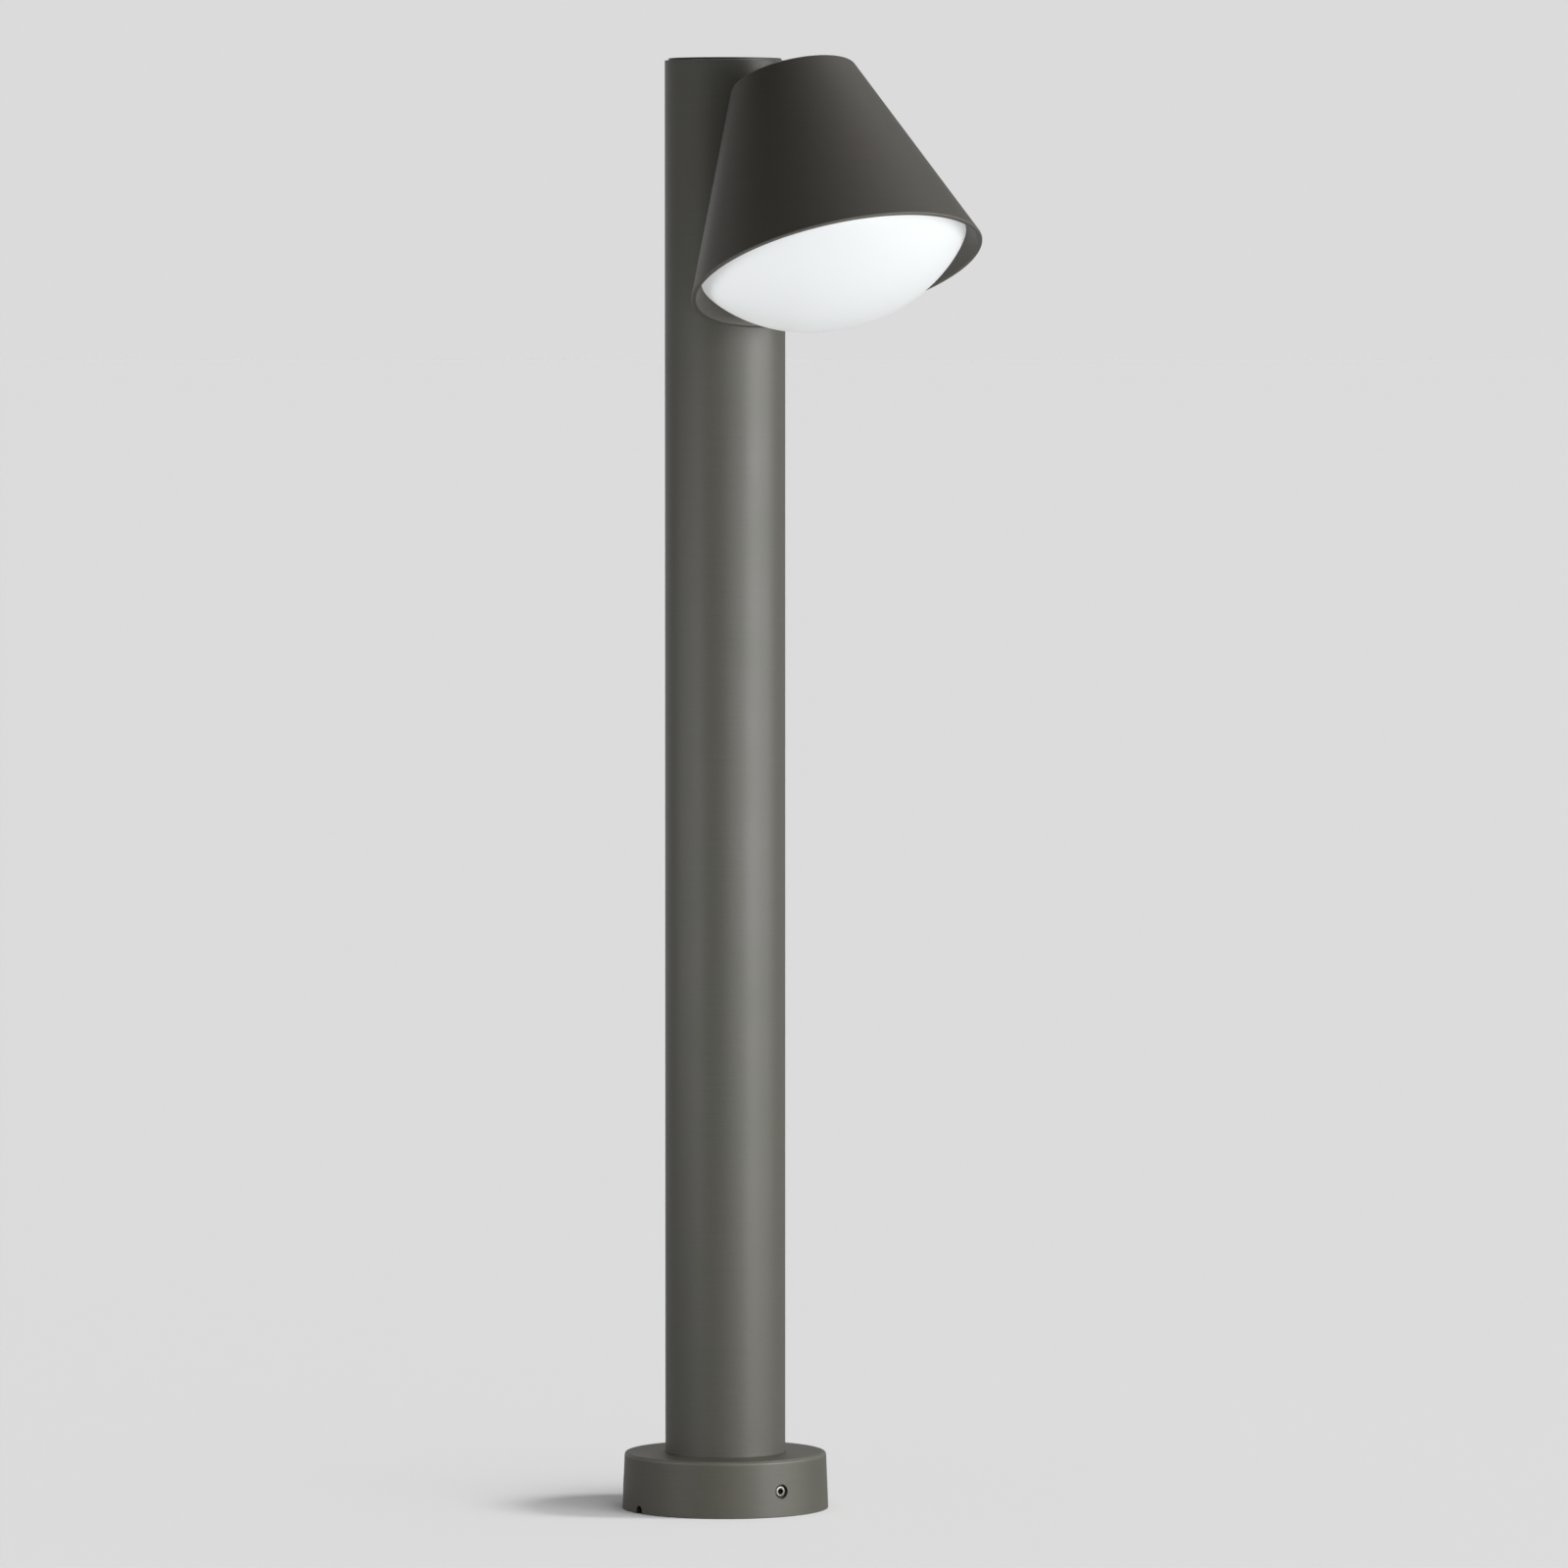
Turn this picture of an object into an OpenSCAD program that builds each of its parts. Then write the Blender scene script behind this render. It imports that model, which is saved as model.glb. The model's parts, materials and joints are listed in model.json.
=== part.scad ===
// Bollard luminaire: a tube column on a round base, with a tilted cone head and an opal glass.
// Z is up, the origin is the centre of the base's underside, and the head faces -Y.

/* [Column] */
// Outer diameter of the column tube
column_d = 83; // [76:1:110]
// Wall thickness of the column tube
column_wall = 2.5; // [1.8:0.1:3.5]
// Height of the tube's top edge above the ground
column_h = 1000; // [600:5:1400]
// Outer radius of each screw port inside the tube
port_r = 4.5; // [4:0.1:5.5]
// Distance from the tube's inner wall to the middle of a screw port
port_inset = 6; // [5:0.1:7]

/* [Top cap] */
// Thickness of the top cap
cap_t = 4; // [3.5:0.1:6]
// Height of the cap above the tube's top edge
cap_proud = 1.5; // [0.5:0.1:2.5]
// Section diameter of the cap's sealing ring
cap_seal_d = 1.6; // [1.2:0.1:2]

/* [Base] */
// Diameter of the base at its top edge
base_top_d = 139.6; // [134:0.2:170]
// Diameter of the base at the ground
base_bottom_d = 142.8; // [136:0.2:174]
// Height of the base
base_h = 39; // [36:0.5:50]
// Radius of the rounded top edge of the base
base_edge_r = 2; // [0.5:0.5:4]
// Wall thickness of the base's skirt
skirt_wall = 5; // [3.5:0.5:6]
// Thickness of the base's top web
web_t = 9; // [8:0.5:11]
// Depth of the recess that the tube stands in
tube_recess = 5; // [3:0.5:6]
// Radius of the cable hole through the web
web_hole_r = 18; // [12:0.5:20]
// Width of a drain notch at the ground
notch_w = 7; // [4:0.5:8]
// Height of a drain notch
notch_h = 5.5; // [4:0.5:8]

/* [Set screws] */
// Nominal diameter of the set screws
set_d = 8; // [5:1:8]
// Length of the set screws
set_len = 20; // [16:1:22]
// Height of the set screws above the ground
set_z = 17.5; // [16:0.5:20]
// Diameter of the counterbore round a set screw
set_counterbore_d = 10; // [9:0.5:12]
// Depth of the hexagon socket in a set screw
set_socket_depth = 5; // [3:0.5:6]

/* [Mounting plate] */
// Diameter of the mounting plate
plate_d = 120; // [104:1:124]
// Thickness of the mounting plate
plate_t = 6; // [4:0.5:8]
// Outer diameter of the spigot ring on the mounting plate
spigot_d = 100; // [96:0.5:100]
// Wall thickness of the spigot ring
spigot_wall = 6; // [4:0.5:7]
// Depth of the groove that the set screws bear in
spigot_groove = 1; // [0.5:0.1:2]
// Diameter of the circle through the foundation bolt holes
foundation_pcd = 70; // [66:1:72]
// Diameter of a foundation bolt hole
foundation_hole_d = 9; // [6.6:0.1:9]
// Diameter of the cable hole in the mounting plate
plate_hole_d = 44; // [30:1:46]

/* [Shade] */
// Outer radius of the shade at its mouth
mouth_r = 101.4; // [95:0.2:110]
// Outer radius of the shade at its closed end
shade_top_r = 43.4; // [42:0.2:46]
// Length of the shade along its own axis
shade_len = 141; // [139:0.5:160]
// Wall thickness of the shade
shade_wall = 3.5; // [2.5:0.1:4]
// Thickness of the shade's closed end
shade_end_t = 4; // [3:0.5:6]
// Gap between the column and the back of the shade
head_gap = 3.2; // [2.6:0.1:6]

/* [Glass] */
// Wall thickness of the opal glass
glass_t = 4; // [3:0.5:5]
// Depth of the glass's widest edge inside the mouth
glass_edge_z = 10.5; // [9:0.5:12]
// Gap between the glass's widest edge and the shade's wall
glass_rim_gap = 1.6; // [1:0.1:3]
// Bulge of the glass from its widest edge to its tip
glass_bulge = 45.8; // [35:0.2:55]
// Share of an ellipse in the bulge, where 0 is a plain ball segment
glass_fullness = 0.2; // [0:0.05:0.6]
// Step in from the glass's widest edge to its neck
neck_step = 13.7; // [12.7:0.1:17]
// Height of the neck above the glass's widest edge
neck_h = 16.5; // [15:0.5:17]
// Reach of the bayonet lugs beyond the neck
lug_reach = 2.5; // [1.5:0.1:3]
// Height of the bayonet lugs
lug_h = 3.7; // [3:0.1:4.5]
// Angle that one bayonet lug spans
lug_span = 24; // [15:1:30]
// Angle that the glass turns from locked to free
glass_twist = 45; // [35:1:50]

/* [Seat ring] */
// Thickness of the seat ring
seat_ring_t = 5; // [4:0.5:6]
// Thickness of the glass gasket
gasket_t = 1.2; // [0.8:0.1:2]
// Radial width of the glass gasket
gasket_w = 2.4; // [1.5:0.1:3]
// Distance from the shade's inner wall to the middle of a seat ring screw
seat_screw_edge = 3.5; // [3.2:0.1:3.9]

/* [Reflector] */
// Wall thickness of the reflector
reflector_t = 1; // [0.8:0.1:1.5]
// Radius of the reflector's flat end
reflector_top_r = 56; // [50:0.5:57]
// Step in from the glass's neck to the reflector's open end
reflector_step = 2; // [0:0.5:8]
// Radius of the lamp hole in the reflector
reflector_hole_r = 24; // [22:0.5:26]
// Clear height between the glass's neck and the reflector
reflector_clear = 2; // [1:0.5:4]

/* [Lamp] */
// Radius of the lamp's globe
globe_r = 30; // [25:0.5:40]
// Length of the lamp from its contact to its tip
lamp_len = 104.5; // [98:0.5:112]
// Length of the lamp's screw cap with its contact
lamp_cap_len = 27; // [25:0.5:29]
// Radius of the lamp's screw cap
lamp_cap_r = 13.2; // [13:0.05:13.3]
// Outer radius of the lampholder's body
holder_r = 19; // [18:0.5:19.5]
// Length of the lampholder's body under its flange
holder_len = 45; // [42:0.5:48]
// Distance from the lampholder's mouth to its contact
holder_depth = 26.8; // [24:0.1:30]

/* [Head fixing] */
// Distance from the column's top down to the middle of the saddle
saddle_drop = 66; // [60:1:70]
// Radius of the saddle between the column and the shade
saddle_r = 20; // [19:0.5:24]
// Depth of the flat pad inside the shade, from the shade's back
pad_depth = 12.3; // [10:0.1:15]
// Diameter of the head bolts
head_bolt_d = 6; // [5:1:6]
// Length of the head bolts under their heads
head_bolt_len = 25; // [22:1:28]
// Distance from the cable to each head bolt
head_bolt_step = 14; // [13.5:0.5:15]

/* [Connection box] */
// Width of the connection box
box_w = 44; // [40:1:46]
// Depth of the connection box with its lid
box_depth = 30; // [28:1:32]
// Height of the connection box
box_h = 130; // [120:1:180]
// Height of the connection box above the tube's foot
box_lift = 41; // [38:1:80]
// Wall thickness of the connection box
box_wall = 2.5; // [2:0.1:3]
// Thickness of the lid of the connection box
lid_t = 3; // [2:0.5:4]
// Outer diameter of the cable between the connection box and the head
cable_d = 7; // [5:0.5:8]
// Bend radius of the cable at the head
cable_bend_r = 30; // [28:1:34]

/* [Fits] */
// Clearance between pieces that move past each other
run_gap = 0.3; // [0.3:0.05:0.4]
// Clearance between pieces that are fixed together
fit_gap = 0.15; // [0.1:0.05:0.25]
// Clearance round a screw in its thread
thread_gap = 0.05; // [0.03:0.01:0.1]

/* [Hidden] */
$fn = 96;
eps = 0.1;

// Column
column_r = column_d / 2;
tube_inner_r = column_r - column_wall;
port_centre_r = tube_inner_r - port_inset;
port_neck_w = 5;
port_angles = [45, 135, 225, 315];
port_screw_r = 2.5;
port_head_r = 4.6;
port_head_h = 2.7;
foot_screw_len = 20;
cap_screw_len = 16;

// Base
web_z = base_h - web_t;
tube_foot_z = base_h - tube_recess;
recess_r = column_r + fit_gap;
base_slope = (base_bottom_d - base_top_d) / 2 / base_h;
boss_r = set_d;
boss_gap = 1.5;
boss_inner_r = spigot_d / 2 + boss_gap;
set_tip_r = spigot_d / 2 - spigot_groove + run_gap;
set_angles = [-90, 30, 150];
set_hex_r = set_d / 4 / cos(30);
groove_h = set_d + 1;
foundation_angles = [-90, 30, 150];

// Connection box, centred on the column's axis
box_z = tube_foot_z + box_lift;
box_top_z = box_z + box_h;
box_back_y = box_depth / 2;
box_front_y = -box_depth / 2 + lid_t;
box_mid_y = (box_back_y + box_front_y) / 2;
box_inner_back_y = box_back_y - box_wall;
bracket_t = 2;
bracket_w = 32;
bracket_foot_w = 18;
bracket_foot_reach = 19;
bracket_foot_y = box_back_y + bracket_t + bracket_foot_reach;
bracket_top_drop = 5;
bracket_screw_x = 5;
bracket_screw_reach = 11;
bracket_screw_y = box_back_y + bracket_t + bracket_screw_reach;
bracket_screw_len = 5;
small_screw_r = 2;
small_head_r = 3.5;
small_head_h = 2.5;
lid_screw_r = 1.5;
lid_post_r = 3;
lid_screw_bite = 8;
lid_post_x = box_w / 2 - box_wall - lid_post_r;
lid_post_edge = 10.5;
lid_post_z = [box_z + lid_post_edge, box_top_z - lid_post_edge];
box_screw_low = 12.5;
box_screw_high = 15;
box_screw_z = [box_z + box_screw_low, box_top_z - box_screw_high];
strip_w = 30;
strip_t = 12;
strip_h = 20;
strip_lift = 45;
strip_z = box_z + strip_lift;
strip_screw_edge = 5;
strip_pitch = 10;
strip_screw_r = 1.8;
strip_screw_depth = 3;
fuse_lift = 25;
fuse_z = box_z + fuse_lift;
fuse_base_w = 32;
fuse_base_h = 10;
fuse_base_t = 6;
fuse_cheek_w = 3;
fuse_r = 2.5;
supply_thread_r = 8;
supply_bore_r = 5;
cable_thread_r = 8;
earth_x = 26;
earth_r = 2.5;
earth_h = 18;
core_r = 1.1;
sheath_end_drop = 13;
sheath_end_z = box_top_z - sheath_end_drop;
gland_hex_h = 3;
gland_nut_h = 5;
gland_collar_h = 7;
gland_nose_h = 3;

// Head frame: z = 0 at the mouth, z = shade_len at the closed end, y points at the column
top_level = column_h + cap_proud;
slope = (mouth_r - shade_top_r) / shade_len;
tilt = atan(slope);
wall_h = shade_wall / cos(tilt);
mouth_y = -(column_r + head_gap + mouth_r * cos(tilt));
mouth_z = top_level - shade_top_r * sin(tilt) - shade_len * cos(tilt);
saddle_z = column_h - saddle_drop;
pad_y = -(column_r + head_gap + pad_depth);
shade_inner_end_z = shade_len - shade_end_t;
head_screw_angles = [30, 150, 270];

// Glass, seat ring and reflector
glass_r = inner_r(glass_edge_z) - glass_rim_gap;
neck_r = glass_r - neck_step;
shoulder_z = glass_edge_z + glass_t;
neck_top_z = glass_edge_z + neck_h;
glass_brim_r = glass_t / 2;
gasket_z = shoulder_z + run_gap;
seat_ring_z = gasket_z + gasket_t;
seat_ring_top_z = seat_ring_z + seat_ring_t;
seat_bore_gap = 1;
seat_bore_r = neck_r + seat_bore_gap;
seat_screw_pcr = inner_r(seat_ring_top_z) - seat_screw_edge;
lug_z = seat_ring_top_z + run_gap;
lug_r = neck_r + lug_reach;
slot_span = lug_span + 4;
slot_angles = [90, 210, 330];
seat_screw_r = 1.75;
seat_head_r = 3.4;
seat_screw_len = 14;
seat_boss_r = 4.5;
seat_boss_len = 20;
reflector_z = neck_top_z + reflector_clear;
reflector_mouth_r = neck_r - reflector_step;
post_r = 5;
post_pcr = 32;
reflector_screw_len = 12;

// Lampholder and lamp, hung from the shade's closed end
holder_boss_h = 4;
holder_boss_r = 27.5;
holder_flange_r = 26;
holder_flange_h = 6;
holder_back_z = shade_inner_end_z - holder_boss_h;
holder_flange_z = holder_back_z - holder_flange_h;
holder_mouth_z = holder_flange_z - holder_len;
holder_screw_x = holder_r + small_head_r + 0.4;
holder_screw_len = 9;
holder_shell_r = lamp_cap_r + 0.4;
holder_shell_t = 0.6;
holder_entry_x = 12;
holder_entry_drop = 9;
holder_bore_r = holder_shell_r + holder_shell_t + fit_gap;
contact_z = holder_mouth_z + holder_depth;
holder_roof_z = contact_z + 3.2;
lamp_top_z = contact_z - run_gap;
housing_top_z = lamp_top_z - lamp_cap_len;
housing_top_r = lamp_cap_r + 1.3;
globe_z = lamp_top_z - lamp_len + globe_r;
globe_cut = 16;
globe_cut_r = sqrt(globe_r * globe_r - globe_cut * globe_cut);
globe_wall = 1.5;
reflector_top_z = holder_mouth_z;

// Cable and head bolts
cable_r = cable_d / 2;
grommet_bore_r = cable_r + run_gap;
grommet_r = grommet_bore_r + 1.4;
cable_hole_r = grommet_r + run_gap;
grommet_flange_r = grommet_r + 2.8;
grommet_flange_t = 1.5;
cable_end_y = pad_y - 5;
head_bolt_r = head_bolt_d / 2;
head_bolt_hole_r = head_bolt_r + run_gap;
head_bolt_head_r = 5;
head_bolt_head_h = head_bolt_d;
head_bolt_z = [saddle_z - head_bolt_step, saddle_z + head_bolt_step];
backing_t = 6;
backing_w = 28;
backing_h = 48;
earth_screw_x = 13;
earth_screw_len = 8;

// Inner radius of the shade at height z in the head frame
function inner_r(z) = mouth_r - slope * z - wall_h;

// Depth of a domed wall of radius r and bulge h, at radius x
function dome(x, r, h) =
    let (ball = (r * r + h * h) / (2 * h))
    (1 - glass_fullness) * (sqrt(ball * ball - x * x) - ball + h)
    + glass_fullness * h * sqrt(max(0, 1 - x * x / (r * r)));

// Points of a domed wall from its tip to its edge at height z
function dome_points(r, h, z, steps) =
    [for (i = [0 : steps]) let (x = r * sin(90 * i / steps)) [x, z - dome(x, r, h)]];

// Puts its children in the head frame
module in_head() {
    translate([0, mouth_y, mouth_z]) rotate([-tilt, 0, 0]) children();
}

// Cylinder along Y from y0 to y1
module bar_y(x, z, y0, y1, r, fn = 96) {
    translate([x, y1, z]) rotate([90, 0, 0]) cylinder(r = r, h = y1 - y0, $fn = fn);
}

// Straight rod between two points
module rod(a, b, r) {
    d = b - a;
    translate(a) rotate([0, acos(d[2] / norm(d)), atan2(d[1], d[0])]) cylinder(r = r, h = norm(d));
}

// Countersunk screw with its head's flat face at z = 0 and its shank along +Z
module countersunk_screw(r, head_r, head_h, len, hex_r) {
    difference() {
        union() {
            cylinder(r1 = head_r, r2 = r, h = head_h);
            cylinder(r = r, h = len);
        }
        translate([0, 0, -eps]) cylinder(r = hex_r, h = head_h * 0.8 + eps, $fn = 6);
    }
}

// Pan-head screw with its head's under-side at z = 0 and its shank along +Z
module pan_screw(r, head_r, head_h, len) {
    difference() {
        union() {
            translate([0, 0, -head_h]) cylinder(r = head_r, h = head_h);
            cylinder(r = r, h = len);
        }
        translate([0, 0, -head_h - eps]) cylinder(r = r * 0.7, h = head_h * 0.6 + eps, $fn = 6);
    }
}

// Countersunk hole for a screw at z = 0, cut along +Z
module countersunk_hole(r, head_r, head_h, len) {
    translate([0, 0, -eps]) cylinder(r = r + fit_gap, h = len + 2 * eps);
    cylinder(r1 = head_r + fit_gap, r2 = r + fit_gap, h = head_h);
    translate([0, 0, -eps]) cylinder(r = head_r + fit_gap, h = eps);
}

// Cable gland through a wall from z = 0 to z = wall, with its clamping nut above
module gland(thread_r, bore_r, wall) {
    nut_r = thread_r * 1.38;
    collar_r = thread_r * 1.12;
    collar_z = wall + gland_nut_h;
    nose_z = collar_z + gland_collar_h;
    difference() {
        union() {
            translate([0, 0, -gland_hex_h]) cylinder(r = nut_r, h = gland_hex_h, $fn = 6);
            translate([0, 0, -gland_hex_h]) cylinder(r = thread_r, h = gland_hex_h + collar_z);
            translate([0, 0, wall]) cylinder(r = nut_r, h = gland_nut_h, $fn = 6);
            translate([0, 0, collar_z]) cylinder(r = collar_r, h = gland_collar_h);
            translate([0, 0, nose_z]) cylinder(r1 = collar_r, r2 = bore_r * 0.4 + collar_r * 0.6,
                h = gland_nose_h);
        }
        translate([0, 0, -gland_hex_h - eps])
            cylinder(r = bore_r, h = gland_hex_h + nose_z + gland_nose_h + 2 * eps);
    }
}

module mounting_plate() {
    color("silver") difference() {
        union() {
            cylinder(d = plate_d, h = plate_t);
            cylinder(d = spigot_d, h = web_z - run_gap);
        }
        translate([0, 0, plate_t]) cylinder(d = spigot_d - 2 * spigot_wall, h = base_h);
        translate([0, 0, -eps]) cylinder(d = plate_hole_d, h = base_h);
        for (a = foundation_angles) rotate(a)
            translate([foundation_pcd / 2, 0, -eps]) cylinder(d = foundation_hole_d, h = plate_t + 2 * eps);
        translate([0, 0, set_z - groove_h / 2]) difference() {
            cylinder(d = spigot_d + 2, h = groove_h);
            translate([0, 0, -eps]) cylinder(d = spigot_d - 2 * spigot_groove, h = groove_h + 2 * eps);
        }
    }
}

module base_section() {
    bottom_r = base_bottom_d / 2;
    edge_z = base_h - base_edge_r;
    edge_r = bottom_r - base_slope * edge_z - base_edge_r;
    polygon(concat(
        [[bottom_r - skirt_wall, 0], [bottom_r, 0]],
        [for (a = [0 : 15 : 90]) [edge_r + base_edge_r * cos(a), edge_z + base_edge_r * sin(a)]],
        [[recess_r, base_h], [recess_r, tube_foot_z], [web_hole_r, tube_foot_z], [web_hole_r, web_z],
        [bottom_r - skirt_wall - base_slope * web_z, web_z]]));
}

module base_flange() {
    boss_len = base_bottom_d / 2 - boss_inner_r - skirt_wall / 2;
    color("dimgray") difference() {
        union() {
            rotate_extrude() base_section();
            for (a = set_angles) rotate(a) translate([boss_inner_r, 0, 0]) {
                translate([0, 0, set_z]) rotate([0, 90, 0]) cylinder(r = boss_r, h = boss_len);
                translate([0, -boss_r, set_z]) cube([boss_len, 2 * boss_r, web_z - set_z + 1]);
            }
        }
        for (a = set_angles) rotate(a) translate([boss_inner_r - 1, 0, set_z]) rotate([0, 90, 0]) {
            cylinder(r = set_d / 2 + thread_gap, h = base_bottom_d / 2);
            translate([0, 0, set_tip_r + set_len - 1 - boss_inner_r])
                cylinder(d = set_counterbore_d, h = base_bottom_d / 2);
        }
        for (a = port_angles) rotate(a) translate([port_centre_r, 0, web_z])
            countersunk_hole(port_screw_r, port_head_r, port_head_h, web_t);
        for (side = [-1, 1]) translate([side * base_bottom_d / 2, 0, 0]) {
            translate([-1.5 * skirt_wall, -notch_w / 2, -eps])
                cube([3 * skirt_wall, notch_w, notch_h - notch_w / 2 + eps]);
            translate([-1.5 * skirt_wall, 0, notch_h - notch_w / 2]) rotate([0, 90, 0])
                cylinder(d = notch_w, h = 3 * skirt_wall);
        }
        bracket_holes(tube_foot_z - 3);
        translate([earth_x, 0, tube_foot_z - 3]) cylinder(r = earth_r + thread_gap, h = 4);
    }
}

// Threaded holes for the bracket's screws, from height z up
module bracket_holes(z) {
    for (side = [-1, 1]) translate([side * bracket_screw_x, bracket_screw_y, z])
        cylinder(r = small_screw_r + thread_gap, h = 8);
}

module set_screws() {
    color("silver") for (a = set_angles) rotate(a)
        translate([set_tip_r, 0, set_z]) rotate([0, 90, 0]) difference() {
            union() {
                cylinder(r1 = set_d / 4, r2 = set_d / 2, h = set_d / 4);
                translate([0, 0, set_d / 4]) cylinder(d = set_d, h = set_len - set_d / 4);
            }
            translate([0, 0, set_len - set_socket_depth])
                cylinder(r = set_hex_r, h = set_socket_depth + eps, $fn = 6);
        }
}

module foot_screws() {
    color("silver") for (a = port_angles) rotate(a) translate([port_centre_r, 0, web_z])
        countersunk_screw(port_screw_r, port_head_r, port_head_h, foot_screw_len, port_screw_r * 0.6);
}

// One screw port of the extruded tube, with its neck to the wall
module port() {
    translate([port_centre_r, 0]) circle(r = port_r);
    translate([port_centre_r, -port_neck_w / 2])
        square([port_inset + column_wall / 2, port_neck_w]);
}

module column_tube() {
    color("dimgray") difference() {
        union() {
            translate([0, 0, tube_foot_z]) linear_extrude(column_h - tube_foot_z) difference() {
                circle(r = column_r);
                circle(r = tube_inner_r);
            }
            translate([0, 0, tube_foot_z])
                linear_extrude(column_h + cap_proud - cap_t - tube_foot_z)
                    for (a = port_angles) rotate(a) port();
        }
        for (a = port_angles) rotate(a) translate([port_centre_r, 0, 0])
            cylinder(r = port_screw_r + thread_gap, h = column_h + 1);
        head_bolt_holes();
        bar_y(0, saddle_z, -column_r - 1, 0, cable_hole_r);
    }
}

// Clearance holes for the head bolts through the column's front wall
module head_bolt_holes() {
    for (z = head_bolt_z) bar_y(0, z, pad_y - 1, -tube_inner_r + backing_t, head_bolt_hole_r);
}

module top_cap() {
    cap_z = column_h + cap_proud - cap_t;
    groove_z = cap_z + (cap_t - cap_proud) / 2;
    color("dimgray") difference() {
        translate([0, 0, cap_z]) cylinder(r = tube_inner_r - fit_gap, h = cap_t);
        translate([0, 0, groove_z - cap_seal_d / 2 - eps]) difference() {
            cylinder(r = column_r, h = cap_seal_d + 2 * eps);
            translate([0, 0, -eps]) cylinder(r = tube_inner_r - cap_seal_d - 2 * eps, h = cap_t);
        }
        for (a = port_angles) rotate(a) translate([port_centre_r, 0, cap_z + cap_t])
            rotate([180, 0, 0]) countersunk_hole(port_screw_r, port_head_r, port_head_h, cap_t);
    }
}

module cap_seal() {
    groove_z = column_h + cap_proud - cap_t + (cap_t - cap_proud) / 2;
    color("black") translate([0, 0, groove_z]) rotate_extrude()
        translate([tube_inner_r - thread_gap - cap_seal_d / 2, 0]) circle(d = cap_seal_d);
}

module cap_screws() {
    color("silver") for (a = port_angles) rotate(a)
        translate([port_centre_r, 0, column_h + cap_proud]) rotate([180, 0, 0])
            countersunk_screw(port_screw_r, port_head_r, port_head_h, cap_screw_len, port_screw_r * 0.6);
}

module earth_terminal() {
    nut_r = earth_r * 1.8;
    color("gold") translate([earth_x, 0, tube_foot_z]) {
        translate([0, 0, -3]) cylinder(r = earth_r, h = earth_h + 3);
        cylinder(r = nut_r, h = 4, $fn = 6);
        translate([0, 0, 4]) cylinder(r = nut_r, h = 1);
        translate([0, 0, 8]) cylinder(r = nut_r, h = 1);
        translate([0, 0, 9]) cylinder(r = nut_r, h = 4, $fn = 6);
    }
}

module box_bracket() {
    color("lightgray") difference() {
        union() {
            translate([-bracket_w / 2, box_back_y, tube_foot_z])
                cube([bracket_w, bracket_t, box_lift + box_h - bracket_top_drop]);
            translate([-bracket_foot_w / 2, box_back_y, tube_foot_z])
                cube([bracket_foot_w, bracket_foot_y - box_back_y, bracket_t]);
        }
        bracket_holes(tube_foot_z - 1);
        for (z = box_screw_z)
            bar_y(0, z, box_back_y - 1, box_back_y + bracket_t + 1, small_screw_r + thread_gap);
    }
}

module bracket_screws() {
    color("silver") {
        for (side = [-1, 1])
            translate([side * bracket_screw_x, bracket_screw_y, tube_foot_z + bracket_t])
                rotate([180, 0, 0])
                    pan_screw(small_screw_r, small_head_r, small_head_h, bracket_screw_len - eps);
        for (z = box_screw_z) translate([0, box_inner_back_y, z]) rotate([-90, 0, 0])
            pan_screw(small_screw_r, small_head_r, small_head_h, box_wall + bracket_t);
    }
}

module connection_box() {
    inner_w = box_w - 2 * box_wall;
    color("lightgray") difference() {
        union() {
            difference() {
                translate([-box_w / 2, box_front_y, box_z])
                    cube([box_w, box_back_y - box_front_y, box_h]);
                translate([-inner_w / 2, box_front_y - eps, box_z + box_wall])
                    cube([inner_w, box_inner_back_y - box_front_y + eps, box_h - 2 * box_wall]);
            }
            for (x = [-lid_post_x, lid_post_x]) for (z = lid_post_z) {
                bar_y(x, z, box_front_y, box_inner_back_y + eps, lid_post_r);
                translate([x > 0 ? x : x - lid_post_r - eps, box_front_y, z - 1])
                    cube([lid_post_r + eps, box_inner_back_y - box_front_y, 2]);
            }
        }
        for (x = [-lid_post_x, lid_post_x]) for (z = lid_post_z)
            bar_y(x, z, box_front_y - 1, box_front_y + lid_screw_bite + 2, lid_screw_r + thread_gap);
        for (z = box_screw_z)
            bar_y(0, z, box_inner_back_y - 1, box_back_y + 1, small_screw_r + fit_gap);
        translate([0, box_mid_y, box_z - 1]) cylinder(r = supply_thread_r + fit_gap, h = box_wall + 2);
        translate([0, box_mid_y, box_top_z - box_wall - 1])
            cylinder(r = cable_thread_r + fit_gap, h = box_wall + 2);
    }
}

module box_lid() {
    color("gainsboro") difference() {
        translate([-box_w / 2, box_front_y - lid_t, box_z]) cube([box_w, lid_t, box_h]);
        for (x = [-lid_post_x, lid_post_x]) for (z = lid_post_z)
            bar_y(x, z, box_front_y - lid_t - 1, box_front_y + 1, lid_screw_r + fit_gap);
    }
}

module lid_screws() {
    color("silver") for (x = [-lid_post_x, lid_post_x]) for (z = lid_post_z)
        translate([x, box_front_y - lid_t, z]) rotate([-90, 0, 0])
            pan_screw(lid_screw_r, lid_screw_r * 1.8, lid_screw_r * 1.3, lid_t + lid_screw_bite);
}

module supply_gland() {
    color("gray") translate([0, box_mid_y, box_z + box_wall]) rotate([180, 0, 0])
        gland(supply_thread_r, supply_bore_r, box_wall);
}

module head_cable_gland() {
    color("gray") translate([0, box_mid_y, box_top_z - box_wall])
        gland(cable_thread_r, cable_r + fit_gap, box_wall);
}

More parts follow.
